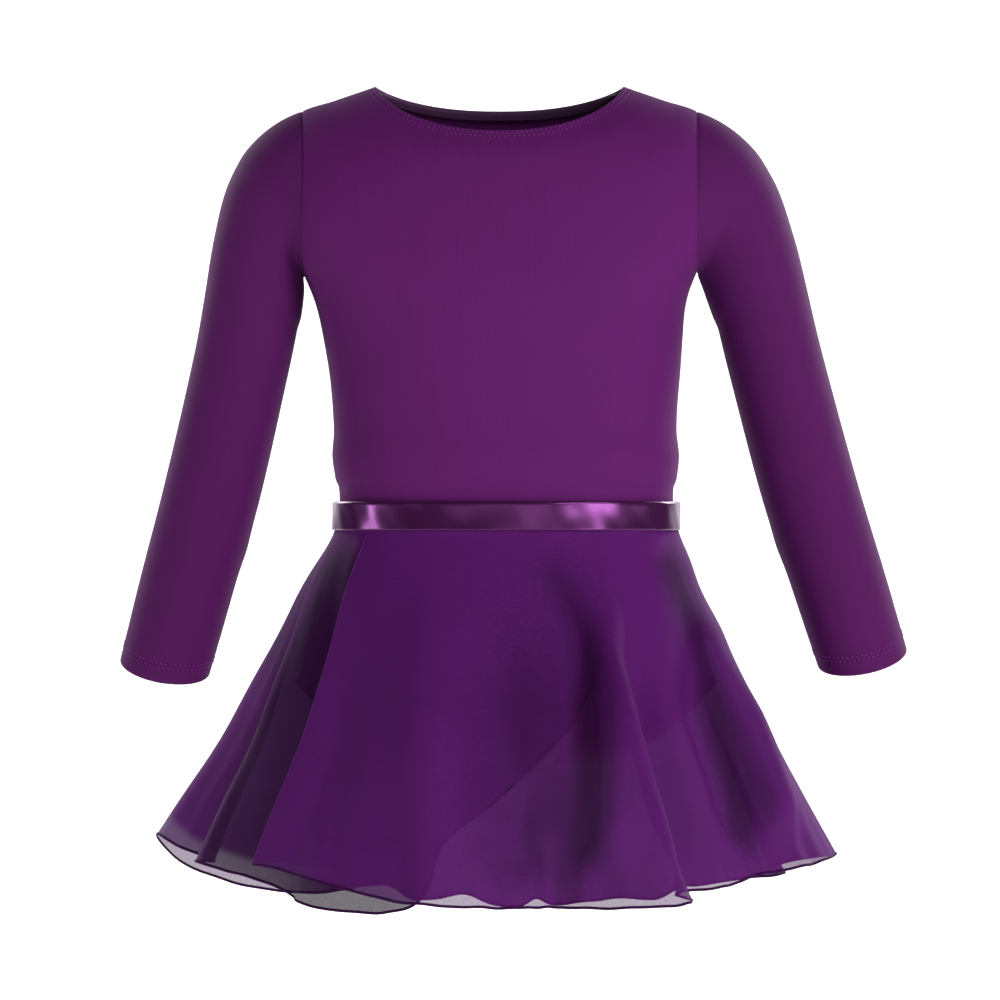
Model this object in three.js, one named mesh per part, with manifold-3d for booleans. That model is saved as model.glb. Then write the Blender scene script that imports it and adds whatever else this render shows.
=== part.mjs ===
// A child's long-sleeved gymnastics and ballet leotard with a tied chiffon wrap skirt.
// Millimetres, +Z up, the front faces -Y, and the wearer's left is +X.
// The origin lies midway between the two neck ends of the shoulder seams, where the wearer's shoulders
// carry it.
import * as THREE from "three";
import { mergeVertices } from "three/addons/utils/BufferGeometryUtils.js";
import Module from "manifold-3d";

const wasm = await Module();
wasm.setup();

// ---------------------------------------------------------------- driving dimensions
const KNIT = 1.2; // wall of the stretch knit, with its pile and backing
const CHIFFON = 0.8;
const RIBBON_WALL = 0.6;
const RIBBON_HEIGHT = 17;
const SEAM_GAP = 0.2; // each panel stops this far from its seam line
const LAYER_GAP = 0.7; // between one cloth layer and the next
const JOIN_OVERLAP = 0.02; // two halves of one loop run into each other by this much at the seams
const SECTION_POWER = 2.3; // how square the body's cross-section is: 2 is an ellipse
const ARMHOLE_X = 118; // the armholes lie in the planes x = +-ARMHOLE_X
const SHOULDER_PIVOT = { x: 120, z: -48 }; // where an arm turns inside its sleeve
const SLEEVE_HEAD_RADIUS = 66; // the sewn-in head of a sleeve fills this circle around the pivot
const SLEEVE_JOINT_GAP = 1;
const RIGHT_SLEEVE_TURN = THREE.MathUtils.degToRad(-2); // the right arm hangs closer in than the left
const WAIST_Z = -257.5; // middle of the ribbon
const WAIST_CLEARANCE = 0.6; // between the body and the ribbon
const WAIST_RING = 11; // the body's ring at the top of the ribbon
const CUFF_HEM_WIDTH = 10;
const CROTCH_HALF_WIDTH = 30;
const CROTCH_Z = -406;
const LEG_OPENING_SIDE_X = 126;
const LEG_OPENING_RISE = 50; // from the crotch up to the side seam
const LEG_OPENING_HALF_DEPTH = 46;
const LEG_CURVE_POWER = { front: 2.3, back: 3 };

// Level rings of the body, from the neck edge to the hips: half-width and height at the side,
// then the depth and height at the centre front and at the centre back.
const BODY_RINGS = [
  [75, 0, 50, -27, 40, -15],
  [98, -8, 60, -44, 52, -36],
  [121, -16.5, 67, -66, 61, -60],
  [133, -36, 72, -88, 67, -84],
  [136, -62, 75, -106, 70, -103],
  [130, -88, 77, -121, 71, -119],
  [118, -112, 77, -137, 71, -136],
  [111, -131, 77, -151, 71, -150],
  [107.3, -154, 76, -168, 70, -167],
  [103.6, -190, 75, -198, 68, -198],
  [102.2, -222, 74, -224, 67, -224],
  [100.3, -240, 73, -240, 66, -240],
  [100.3, -275, 73, -275, 66, -275],
  [104.5, -292, 75.5, -292, 71.5, -292],
  [113, -313, 78, -313, 79, -313],
  [122, -345, 79, -345, 85, -345],
];
const HIP = BODY_RINGS.length - 1;
const LEG_EDGE = HIP + 1; // past the hip ring the rings run on to the leg edges and the crotch
const NECK_EDGE = 0;

// Rings of the left sleeve: the outer and the inner point seen from the front, and the half-depth.
const SLEEVE_RINGS = [
  [119, -16, 118.6, -112, 36],
  [143, -27.6, 118.8, -115, 36],
  [161.3, -56, 120, -121, 33],
  [172, -90, 123.5, -134, 31.5],
  [181, -126, 128.5, -149, 30.5],
  [190.5, -162, 135, -175, 30],
  [211, -236, 154, -247, 29.5],
  [228, -292, 172.5, -303, 29],
  [241, -337, 187.5, -347, 27],
];
const SLEEVE_RINGS_TURNED = 4; // the right sleeve's extra turn grows to full by this ring
const CUFF_DIP = 9; // the front of the cuff hangs this much lower than its sides

// The skirt's lower edge, from the front flap's free edge round the back to the tip of the under flap:
// the angle at the waist, from the front towards +X, then the x, y and z of the edge below it.
const SKIRT_EDGE = [
  [-50, -147, -108, -462],
  [-44, -127, -124, -463],
  [-37, -100, -144, -468],
  [-30, -72, -157, -475],
  [-22, -45, -170, -482],
  [-13, -22, -163, -484],
  [-4, 0, -152, -485],
  [4, 16, -144, -485],
  [11, 29, -140, -485],
  [17, 46, -149, -485],
  [23, 73, -163, -484],
  [28, 100, -169, -482],
  [31, 109, -156, -480],
  [34, 100, -138, -478],
  [39, 105, -124, -476],
  [50, 124, -112, -475],
  [60, 138, -97, -472],
  [66, 147, -84, -469],
  [72, 160, -77, -467],
  [78, 177, -70, -464],
  [84, 190, -54, -461],
  [90, 197, -32, -459],
  [96, 189, -8, -461],
  [104, 168, 14, -466],
  [113, 160, 46, -472],
  [123, 170, 80, -476],
  [133, 150, 108, -480],
  [143, 116, 118, -485],
  [153, 96, 146, -487],
  [163, 64, 170, -488],
  [172, 34, 154, -491],
  [182, 4, 142, -492],
  [192, -28, 154, -491],
  [202, -60, 172, -488],
  [212, -88, 152, -487],
  [222, -106, 120, -489],
  [232, -138, 104, -488],
  [242, -172, 88, -480],
  [252, -198, 60, -467],
  [260, -211, 28, -449],
  [266, -196, 6, -456],
  [271, -175, -10, -463],
  [276, -178, -32, -463],
  [281, -184, -52, -462],
  [287, -168, -68, -466],
  [293, -148, -78, -471],
  [299, -130, -88, -476],
  [306, -122, -104, -480],
  [315, -98, -114, -483],
  [325, -72, -122, -484],
  [335, -50, -128, -479],
  [345, -36, -124, -447],
  [357, -6, -118, -424],
  [370, 22, -103, -399],
  [383, 49, -91, -366],
  [394, 65, -75, -322],
  [403, 74.5, -58.5, -285],
];
const SKIRT_FLAP_ROWS = 21; // rows from the front flap's free edge to the wearer's left side
const SKIRT_UNDER_FLAP_ROWS = 13; // rows from the wearer's right side to the tip of the under flap
const SKIRT_JOIN_GAP = 0.035; // of a row
const SKIRT_TOP_Z = WAIST_Z + 5; // the chiffon's top edge lies inside the folded ribbon
const SKIRT_START_Z = WAIST_Z - RIBBON_HEIGHT / 2 - 0.3; // here the chiffon leaves the ribbon
const SKIRT_FLARE_POWER = 1.1; // how the skirt leaves the waist: 1 is a straight cone
const SKIRT_FLARE_SHIFT = 0.05; // the flare starts later on the wearer's left and sooner on the right
const SKIRT_FLUTE_POWER = 1.7; // how late the flutes open
const FLAP_LAYER_STEP = 1.1; // the front flap lies this far outside the under flap at the waist
const RIBBON_SLOT = 2.5; // room in the folded ribbon for both layers of chiffon

// ---------------------------------------------------------------- small helpers
const lerp = THREE.MathUtils.lerp;
const smooth = (t) => THREE.MathUtils.smoothstep(t, 0, 1);
const signedPower = (value, power) => Math.sign(value) * Math.abs(value) ** power;

// A row of a table of rings at a fractional index, on a smooth curve through its rows.
function rowAt(rows, index) {
  const at = THREE.MathUtils.clamp(index, 0, rows.length - 1);
  const i = Math.min(Math.floor(at), rows.length - 2);
  const t = at - i;
  return rows[i].map((here, k) => {
    const next = rows[i + 1][k];
    const before = i > 0 ? rows[i - 1][k] : 2 * here - next;
    const after = i + 2 < rows.length ? rows[i + 2][k] : 2 * next - here;
    const slopeHere = (next - before) / 2;
    const slopeNext = (after - here) / 2;
    const t2 = t * t;
    const t3 = t2 * t;
    return (
      (2 * t3 - 3 * t2 + 1) * here +
      (t3 - 2 * t2 + t) * slopeHere +
      (3 * t2 - 2 * t3) * next +
      (t3 - t2) * slopeNext
    );
  });
}

// Outward unit normals of a grid of points; along u the grid may run round and close.
function gridNormals(grid, closed, flip) {
  const last = grid.length - 1;
  return grid.map((column, i) =>
    column.map((point, j) => {
      const before = closed ? (i + last) % (last + 1) : Math.max(i - 1, 0);
      const after = closed ? (i + 1) % (last + 1) : Math.min(i + 1, last);
      const along = grid[after][j].clone().sub(grid[before][j]);
      const down = column[Math.min(j + 1, column.length - 1)].clone().sub(column[Math.max(j - 1, 0)]);
      return along.cross(down).normalize().multiplyScalar(flip ? -1 : 1);
    }),
  );
}

// A layer of cloth over the surface pointAt(u, v): from `inset` under it to `inset + wall` under it.
// `keep` may hold the points on their own side of a seam.
function clothLayer(pointAt, { us, vs, wall, inset = 0, closed = false, flip = false, keep = (p) => p }) {
  const grid = us.map((u) => vs.map((v) => pointAt(u, v)));
  const normals = gridNormals(grid, closed, flip);
  const layer = (depth) =>
    grid.map((column, i) => column.map((point, j) => keep(point.clone().addScaledVector(normals[i][j], -depth))));
  const skins = [layer(inset), layer(inset + wall)];
  const columns = us.length;
  const rows = vs.length;
  const at = (skin, i, j) => (skin * columns + (i % columns)) * rows + j;
  const index = [];
  const quad = (a, b, c, d) => index.push(a, b, c, a, c, d);
  const spans = closed ? columns : columns - 1;
  for (let i = 0; i < spans; i++) {
    for (let j = 0; j < rows - 1; j++) {
      quad(at(0, i, j), at(0, i + 1, j), at(0, i + 1, j + 1), at(0, i, j + 1));
      quad(at(1, i, j), at(1, i, j + 1), at(1, i + 1, j + 1), at(1, i + 1, j));
    }
    quad(at(0, i, 0), at(1, i, 0), at(1, i + 1, 0), at(0, i + 1, 0));
    quad(at(0, i, rows - 1), at(0, i + 1, rows - 1), at(1, i + 1, rows - 1), at(1, i, rows - 1));
  }
  if (!closed) {
    for (let j = 0; j < rows - 1; j++) {
      quad(at(0, 0, j), at(0, 0, j + 1), at(1, 0, j + 1), at(1, 0, j));
      const e = columns - 1;
      quad(at(0, e, j), at(1, e, j), at(1, e, j + 1), at(0, e, j + 1));
    }
  }
  if (flip) index.reverse();
  const geometry = new THREE.BufferGeometry();
  geometry.setFromPoints(skins.flat(2));
  geometry.setIndex(index);
  return geometry;
}

const steps = (from, to, count) => Array.from({ length: count + 1 }, (_, i) => lerp(from, to, i / count));
const turns = (count) => Array.from({ length: count }, (_, i) => (2 * Math.PI * i) / count);

function solidOf(geometry) {
  const bare = geometry.index ? geometry.toNonIndexed() : geometry.clone();
  bare.deleteAttribute("normal");
  bare.deleteAttribute("uv");
  const merged = mergeVertices(bare, 1e-3);
  return new wasm.Manifold(
    new wasm.Mesh({
      numProp: 3,
      vertProperties: merged.attributes.position.array,
      triVerts: new Uint32Array(merged.index.array),
    }),
  );
}

function geometryOf(solid) {
  const { vertProperties, triVerts, numProp, numVert } = solid.getMesh();
  const positions = new Float32Array(numVert * 3);
  for (let i = 0; i < numVert; i++) positions.set(vertProperties.subarray(i * numProp, i * numProp + 3), i * 3);
  return new THREE.BufferGeometry()
    .setAttribute("position", new THREE.BufferAttribute(positions, 3))
    .setIndex(new THREE.BufferAttribute(triVerts, 1));
}

// ---------------------------------------------------------------- the body
// A point of the body. `across` runs from -1 at the right seam to 1 at the left seam, and `down`
// counts rings.
function bodyPoint(front, across, down) {
  const [width, sideZ, frontDepth, frontZ, backDepth, backZ] = rowAt(BODY_RINGS, Math.min(down, HIP));
  const angle = (across * Math.PI) / 2;
  const forward = front ? -1 : 1;
  const depth = front ? frontDepth : backDepth;
  const centreZ = front ? frontZ : backZ;
  const point = new THREE.Vector3(
    width * signedPower(Math.sin(angle), 2 / SECTION_POWER),
    forward * (SEAM_GAP + depth * Math.max(Math.cos(angle), 0) ** (2 / SECTION_POWER)),
    lerp(sideZ, centreZ, Math.max(Math.cos(angle), 0) ** 1.5),
  );
  return down > HIP ? briefPoint(front, point, down - HIP) : point;
}

// From a point of the hip ring, down a curve to the leg edge or the crotch.
function briefPoint(front, hip, t) {
  const share = hip.x / BODY_RINGS[HIP][0];
  const x = LEG_OPENING_SIDE_X * share * (0.5 + 0.5 * share * share);
  const outside = Math.max((Math.abs(x) - CROTCH_HALF_WIDTH) / (LEG_OPENING_SIDE_X - CROTCH_HALF_WIDTH), 0);
  const power = LEG_CURVE_POWER[front ? "front" : "back"];
  const edge = new THREE.Vector3(
    x,
    Math.sign(hip.y) * (SEAM_GAP + LEG_OPENING_HALF_DEPTH * Math.sqrt(Math.max(1 - (2 * outside - 1) ** 2, 0))),
    CROTCH_Z + LEG_OPENING_RISE * outside ** power,
  );
  const bend = new THREE.Vector3(lerp(hip.x, edge.x, 0.6), lerp(edge.y, hip.y, 0.88), lerp(hip.z, edge.z, 0.9));
  return new THREE.QuadraticBezierCurve3(hip, bend, edge).getPoint(t);
}

// Where the armhole plane meets ring `down`, as a value of `across`.
function armholeAcross(down) {
  const [width] = rowAt(BODY_RINGS, down);
  return (2 / Math.PI) * Math.asin(Math.min(ARMHOLE_X / width, 1) ** (SECTION_POWER / 2));
}

function ringWhereWidthIs(width, low, high) {
  const rising = rowAt(BODY_RINGS, high)[0] > rowAt(BODY_RINGS, low)[0];
  for (let i = 0; i < 40; i++) {
    const middle = (low + high) / 2;
    if (rowAt(BODY_RINGS, middle)[0] < width === rising) low = middle;
    else high = middle;
  }
  return (low + high) / 2;
}
const ARMHOLE_TOP = ringWhereWidthIs(ARMHOLE_X, 1, 3);
const ARMHOLE_BOTTOM = ringWhereWidthIs(ARMHOLE_X, 5, 7);

// A point of the left armhole: angle 0 is the shoulder, half a turn the underarm, and the front lies
// between them.
function armholePoint(angle) {
  const down = (ARMHOLE_TOP + ARMHOLE_BOTTOM) / 2 - ((ARMHOLE_BOTTOM - ARMHOLE_TOP) / 2) * Math.cos(angle);
  return bodyPoint(Math.sin(angle) >= 0, armholeAcross(down), down);
}

// Holds a point in front of the side seams, or behind them.
const keepTo = (front) => (point) =>
  point.setY(front ? Math.min(point.y, -SEAM_GAP) : Math.max(point.y, SEAM_GAP));

// The front or the back of the body in two pieces that meet behind the ribbon: the bodice and the brief.
function bodyPanels(front) {
  const rings = [...steps(NECK_EDGE, 7, 14), ...steps(8, HIP, HIP - 8), ...steps(HIP + 0.14, LEG_EDGE, 6)];
  const crotchEnd = acrossAtLegEdge(CROTCH_HALF_WIDTH);
  const panel = solidOf(
    clothLayer((across, down) => bodyPoint(front, across, down), {
      us: [...steps(-1, -0.3, 7), -crotchEnd, ...steps(-0.2, 0.2, 4), crotchEnd, ...steps(0.3, 1, 7)],
      vs: rings,
      wall: KNIT,
      flip: front,
      keep: keepTo(front),
    }),
  );
  const beyond = new THREE.BoxGeometry(100, 400, 160);
  const cut = panel
    .subtract(solidOf(beyond.clone().translate(ARMHOLE_X + 50, 0, -40)))
    .subtract(solidOf(beyond.clone().translate(-ARMHOLE_X - 50, 0, -40)));
  return {
    bodice: geometryOf(cut.trimByPlane([0, 0, 1], WAIST_Z + SEAM_GAP)),
    brief: geometryOf(cut.trimByPlane([0, 0, -1], -(WAIST_Z - SEAM_GAP))),
  };
}

// A strip that runs round an edge of the body, inside it, over the front and the back panel in one loop.
function edgeLoop(us, vs, wall, inset) {
  const [frontHalf, backHalf] = [true, false].map((front) => {
    const onSeam = (point) => (Math.abs(point.y) < SEAM_GAP + 0.01 ? point.setY(0) : point);
    return solidOf(
      clothLayer((across, down) => onSeam(bodyPoint(front, across, down)), {
        us,
        vs,
        wall,
        inset,
        flip: front,
        keep: (point) => point.setY(front ? Math.min(point.y, JOIN_OVERLAP) : Math.max(point.y, -JOIN_OVERLAP)),
      }),
    );
  });
  return geometryOf(frontHalf.add(backHalf));
}

// The hem turned to the inside along the neck edge, and the elastic that lies in it.
const neckHem = () => edgeLoop(steps(-1, 1, 20), steps(0.02, 0.34, 2), 0.8, KNIT + 1.6);
const neckElastic = () => edgeLoop(steps(-1, 1, 20), steps(0.04, 0.26, 1), 0.6, KNIT + 0.5);

// A strip round one leg opening, reaching `reach` of a ring up from the leg edge.
function legLoop(side, reach, wall, inset) {
  const crotch = acrossAtLegEdge(CROTCH_HALF_WIDTH);
  const across = [0.85 * crotch, crotch, ...steps(0.3, 1, 7)].map((value) => side * value);
  if (side < 0) across.reverse();
  return edgeLoop(across, [LEG_EDGE - reach, LEG_EDGE - reach / 2, LEG_EDGE], wall, inset);
}

// The value of `across` at which the leg edge lies at x.
function acrossAtLegEdge(x) {
  let low = 0;
  let high = 1;
  for (let i = 0; i < 40; i++) {
    const middle = (low + high) / 2;
    if (bodyPoint(true, middle, LEG_EDGE).x < x) low = middle;
    else high = middle;
  }
  return (low + high) / 2;
}

// The cotton lining of the crotch, inside the front and back panels.
function gusset() {
  const pointAt = (across, along) => bodyPoint(along < 0, across, LEG_EDGE - Math.abs(along) * 0.6);
  const along = [...steps(-1, -0.1, 6), ...steps(0.1, 1, 6)];
  return clothLayer(pointAt, { us: steps(-0.18, 0.18, 4), vs: along, wall: 0.8, inset: KNIT + 1.2, flip: true });
}

// An overlocked seam allowance inside the body, standing in along the seam at `across` = +-1.
function bodySeam(side, fromRing, toRing, count) {
  const pointAt = (offset, down) => bodyPoint(offset < 0, side, down).setY(offset * 0.9);
  const rings = steps(fromRing, toRing, count);
  return clothLayer(pointAt, { us: [-1, 1], vs: rings, wall: 4.5, inset: KNIT + LAYER_GAP, flip: side > 0 });
}

// ---------------------------------------------------------------- the sleeves
// A point of a sleeve as it hangs. `along` counts rings, and `extraTurn` swings the lower rings about
// the shoulder.
function sleevePoint(side, angle, along) {
  const [outerX, outerZ, innerX, innerZ, depth] = rowAt(SLEEVE_RINGS, along);
  const outwards = Math.cos(angle);
  const forwards = Math.sin(angle);
  const ring = new THREE.Vector3(
    (outerX + innerX) / 2 + ((outerX - innerX) / 2) * outwards,
    -depth * forwards,
    (outerZ + innerZ) / 2 + ((outerZ - innerZ) / 2) * outwards,
  );
  ring.z -= CUFF_DIP * forwards * smooth((along - 6) / 2);
  const point = armholePoint(angle).add(new THREE.Vector3(0.4, 0, 0)).lerp(ring, smooth(along / 1.6));
  if (side > 0) return point;
  const turn = RIGHT_SLEEVE_TURN * smooth(along / SLEEVE_RINGS_TURNED);
  const dx = point.x - SHOULDER_PIVOT.x;
  const dz = point.z - SHOULDER_PIVOT.z;
  return new THREE.Vector3(
    -(SHOULDER_PIVOT.x + dx * Math.cos(turn) - dz * Math.sin(turn)),
    point.y,
    SHOULDER_PIVOT.z + dx * Math.sin(turn) + dz * Math.cos(turn),
  );
}

const CUFF = SLEEVE_RINGS.length - 1;

function sleeveSolid(side) {
  const rings = [...steps(0, 4, 10), 5, 6, 7, CUFF];
  return solidOf(
    clothLayer((angle, along) => sleevePoint(side, angle, along), {
      us: turns(24),
      vs: rings,
      wall: KNIT,
      closed: true,
      flip: side < 0,
      keep: (point) => point.setX(side * Math.max(side * point.x, ARMHOLE_X + 0.3)),
    }),
  );
}

// A round bar along Y about a shoulder's pivot.
function pivotBar(side, radius) {
  const bar = new THREE.CylinderGeometry(radius, radius, 200, 64);
  return solidOf(bar.translate(side * SHOULDER_PIVOT.x, 0, SHOULDER_PIVOT.z));
}

const sleeveHead = (side) => geometryOf(sleeveSolid(side).intersect(pivotBar(side, SLEEVE_HEAD_RADIUS)));
const sleeveTube = (side) =>
  geometryOf(sleeveSolid(side).subtract(pivotBar(side, SLEEVE_HEAD_RADIUS + SLEEVE_JOINT_GAP)));

const cuffHem = (side) =>
  clothLayer((angle, along) => sleevePoint(side, angle, along), {
    us: turns(24),
    vs: [CUFF - CUFF_HEM_WIDTH / 47, CUFF - 0.02],
    wall: 0.8,
    inset: KNIT + LAYER_GAP,
    closed: true,
    flip: side < 0,
  });

// The allowance of the seam under the arm, inside the sleeve.
function underarmSeam(side) {
  const pointAt = (offset, along) => sleevePoint(side, Math.PI + offset * 0.035, along);
  const rings = [2.4, 3, 4, 5, 6, 7, 7.7];
  return clothLayer(pointAt, { us: [-1, 1], vs: rings, wall: 4, inset: KNIT + LAYER_GAP, flip: side < 0 });
}

// The allowance of the seam that joins the sleeve head to the body, standing into the body.
function armholeSeam(side) {
  const pointAt = (angle, depth) => {
    const edge = armholePoint(angle);
    const centre = new THREE.Vector3(ARMHOLE_X, 0, (BODY_RINGS[2][1] + BODY_RINGS[6][1]) / 2);
    const inward = centre.sub(edge).setX(0).normalize();
    return edge.addScaledVector(inward, KNIT + 2.4).setX(side * (ARMHOLE_X - 0.6 - depth));
  };
  return clothLayer(pointAt, { us: turns(28), vs: [0, 1.2], wall: 4, closed: true, flip: side > 0 });
}

// ---------------------------------------------------------------- the skirt
// A point at the waist, `out` millimetres outside the body, at an angle from the front towards +X.
function waistPoint(degrees, out, z) {
  const [width, , frontDepth, , backDepth] = rowAt(BODY_RINGS, WAIST_RING);
  const angle = THREE.MathUtils.degToRad(degrees);
  const forward = Math.cos(angle);
  const depth = forward > 0 ? frontDepth : backDepth;
  const x = width * signedPower(Math.sin(angle), 2 / SECTION_POWER);
  const y = -depth * signedPower(forward, 2 / SECTION_POWER);
  const slope = SECTION_POWER - 1;
  const outward = new THREE.Vector2(
    signedPower(x / width, slope) / width,
    signedPower(y / depth, slope) / depth,
  ).normalize();
  return new THREE.Vector3(x + outward.x * out, y + outward.y * out, z);
}

// The skirt as a wrapped sheet: `round` counts rows of SKIRT_EDGE, and `down` runs from 0 at the waist
// to 1.
function skirtPoint(round, down) {
  const [degrees, edgeX, edgeY, edgeZ] = rowAt(SKIRT_EDGE, round);
  const layer = FLAP_LAYER_STEP * (1 - smooth((degrees + 60) / 340));
  const waist = waistPoint(degrees, WAIST_CLEARANCE + RIBBON_WALL + 0.3 + CHIFFON + layer, SKIRT_START_Z);
  if (down < 0) return waist.setZ(SKIRT_TOP_Z);
  const angle = THREE.MathUtils.degToRad(degrees);
  const reach = Math.hypot(edgeX / 1.15, edgeY);
  const cone = new THREE.Vector2(1.15 * reach * Math.sin(angle), -reach * Math.cos(angle));
  const flare = down ** (SKIRT_FLARE_POWER + SKIRT_FLARE_SHIFT * Math.sin(angle));
  const flute = down ** SKIRT_FLUTE_POWER;
  return new THREE.Vector3(
    lerp(waist.x, cone.x, flare) + (edgeX - cone.x) * flute,
    lerp(waist.y, cone.y, flare) + (edgeY - cone.y) * flute,
    lerp(waist.z, edgeZ, down),
  );
}

// One length of the skirt, between two rows of SKIRT_EDGE.
const skirtPanel = (from, to) =>
  clothLayer(skirtPoint, {
    us: steps(from, to, Math.round(2 * (to - from))),
    vs: [-1, 0, 0.12, 0.3, 0.48, 0.66, 0.83, 1],
    wall: CHIFFON,
    flip: true,
  });

// The satin ribbon folded over the chiffon's top edge: a wall outside, a wall inside and a fold on top.
function waistbandRibbon() {
  const inner = WAIST_CLEARANCE;
  const slot = [inner + RIBBON_WALL, inner + RIBBON_WALL + RIBBON_SLOT];
  const outer = slot[1] + RIBBON_WALL;
  const low = WAIST_Z - RIBBON_HEIGHT / 2;
  const high = WAIST_Z + RIBBON_HEIGHT / 2;
  const section = [
    [outer, low],
    [outer, high],
    [inner, high],
    [inner, low],
    [slot[0], low],
    [slot[0], high - 1.5],
    [slot[1], high - 1.5],
    [slot[1], low],
  ];
  return hoopOf(section, 84);
}

// A closed section carried once round the waist.
function hoopOf(section, count) {
  const points = turns(count).flatMap((angle) =>
    section.map(([out, z]) => waistPoint(THREE.MathUtils.radToDeg(angle), out, z)),
  );
  const n = section.length;
  const index = [];
  for (let i = 0; i < count; i++) {
    for (let j = 0; j < n; j++) {
      const a = i * n + j;
      const b = i * n + ((j + 1) % n);
      const c = ((i + 1) % count) * n + ((j + 1) % n);
      const d = ((i + 1) % count) * n + j;
      index.push(a, d, c, a, c, b);
    }
  }
  return new THREE.BufferGeometry().setFromPoints(points).setIndex(index);
}

// ---------------------------------------------------------------- the bow at the back
const RIBBON_OUT = WAIST_CLEARANCE + 2 * RIBBON_WALL + RIBBON_SLOT;
const BOW_Y = waistPoint(180, RIBBON_OUT, 0).y + 0.4; // the knot's inner face
const KNOT = { width: 15, height: 17, depth: 9 };
const TAIL_LENGTH = 150;
const TAIL_LEAN = THREE.MathUtils.degToRad(22); // the tails lie down the slope of the skirt's back
const TAIL_SPLAY = THREE.MathUtils.degToRad(8);
const TAIL_GATHER = { half: 4.5, length: 20 }; // the knot pinches the top of a tail to this
const RIBBON_THICK = 1;

function bowKnot() {
  const shape = new THREE.Shape();
  const { width, height } = KNOT;
  const r = 5;
  shape.moveTo(-width / 2 + r, -height / 2);
  shape.lineTo(width / 2 - r, -height / 2);
  shape.absarc(width / 2 - r, -height / 2 + r, r, -Math.PI / 2, 0);
  shape.absarc(width / 2 - r, height / 2 - r, r, 0, Math.PI / 2);
  shape.absarc(-width / 2 + r, height / 2 - r, r, Math.PI / 2, Math.PI);
  shape.absarc(-width / 2 + r, -height / 2 + r, r, Math.PI, 1.5 * Math.PI);
  return new THREE.ExtrudeGeometry(shape, { depth: KNOT.depth, bevelEnabled: false, curveSegments: 5 });
}

// One loop of the bow: the ribbon goes out to the side and comes back behind itself.
function bowLoop() {
  const outline = new THREE.Shape();
  const half = 6;
  outline.moveTo(0, -1.6);
  outline.quadraticCurveTo(30, -half, 50, -half);
  outline.absarc(50, 0, half, -Math.PI / 2, Math.PI / 2);
  outline.quadraticCurveTo(30, half, 0, 1.6);
  outline.closePath();
  const hollow = new THREE.Path();
  hollow.moveTo(6, 0);
  hollow.quadraticCurveTo(30, half - RIBBON_THICK - 1.2, 50, half - RIBBON_THICK);
  hollow.absarc(50, 0, half - RIBBON_THICK, Math.PI / 2, -Math.PI / 2, true);
  hollow.quadraticCurveTo(30, -half + RIBBON_THICK + 1.2, 6, 0);
  outline.holes.push(hollow);
  return new THREE.ExtrudeGeometry(outline, { depth: RIBBON_HEIGHT, bevelEnabled: false, curveSegments: 8 });
}

// A tail: a flat ribbon, pinched where it leaves the knot, with a fishtail end.
function bowTail() {
  const half = RIBBON_HEIGHT / 2 - 0.5;
  const shape = new THREE.Shape();
  shape.moveTo(-TAIL_GATHER.half, 0);
  shape.lineTo(-half, -TAIL_GATHER.length);
  shape.lineTo(-half, -TAIL_LENGTH);
  shape.lineTo(0, -TAIL_LENGTH + 8);
  shape.lineTo(half, -TAIL_LENGTH);
  shape.lineTo(half, -TAIL_GATHER.length);
  shape.lineTo(TAIL_GATHER.half, 0);
  return new THREE.ExtrudeGeometry(shape, { depth: RIBBON_THICK, bevelEnabled: false });
}

// ---------------------------------------------------------------- materials and assembly
const finish = (color, roughness) => new THREE.MeshStandardMaterial({ color, roughness, metalness: 0 });
const knit = finish("#5a1c60", 0.85);
const chiffon = finish("#4a1f63", 0.7);
const satin = finish("#6e2f74", 0.3);
const elastic = finish("#d8cfd6", 0.6);
const cotton = finish("#5f2a66", 0.9);
const thread = finish("#4c1652", 0.8);

const leotardAndSkirt = new THREE.Group();
function add(name, geometry, material, parent = leotardAndSkirt) {
  const mesh = new THREE.Mesh(geometry, material);
  mesh.name = name;
  parent.add(mesh);
  return mesh;
}

for (const [name, front] of [
  ["front", true],
  ["back", false],
]) {
  const { bodice, brief } = bodyPanels(front);
  add(`${name}_bodice`, bodice, knit);
  add(`${name}_brief`, brief, knit);
}
add("neck_hem", neckHem(), knit);
add("neck_elastic", neckElastic(), elastic);
add("crotch_gusset", gusset(), cotton);

for (const [name, side] of [
  ["left", 1],
  ["right", -1],
]) {
  add(`${name}_sleeve_head`, sleeveHead(side), knit);
  add(`${name}_sleeve`, sleeveTube(side), knit);
  add(`${name}_cuff_hem`, cuffHem(side), knit);
  add(`${name}_underarm_seam`, underarmSeam(side), thread);
  add(`${name}_armhole_seam`, armholeSeam(side), thread);
  add(`${name}_shoulder_seam`, bodySeam(side, 0.45, ARMHOLE_TOP - 0.22, 4), thread);
  add(`${name}_side_seam`, bodySeam(side, ARMHOLE_BOTTOM + 0.45, HIP, 14), thread);
  add(`${name}_leg_hem`, legLoop(side, 0.24, 0.8, KNIT + 2), knit);
  add(`${name}_leg_elastic`, legLoop(side, 0.2, 0.5, KNIT + 1), elastic);
}

// The one sheet of chiffon is three lengths that meet edge to edge.
const [flapEnd, backEnd] = [SKIRT_FLAP_ROWS, SKIRT_EDGE.length - 1 - SKIRT_UNDER_FLAP_ROWS];
add("skirt_front_flap", skirtPanel(0, flapEnd - SKIRT_JOIN_GAP), chiffon);
add("skirt_back", skirtPanel(flapEnd + SKIRT_JOIN_GAP, backEnd - SKIRT_JOIN_GAP), chiffon);
add("skirt_under_flap", skirtPanel(backEnd + SKIRT_JOIN_GAP, SKIRT_EDGE.length - 1), chiffon);
add("waistband_ribbon", waistbandRibbon(), satin);

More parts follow.
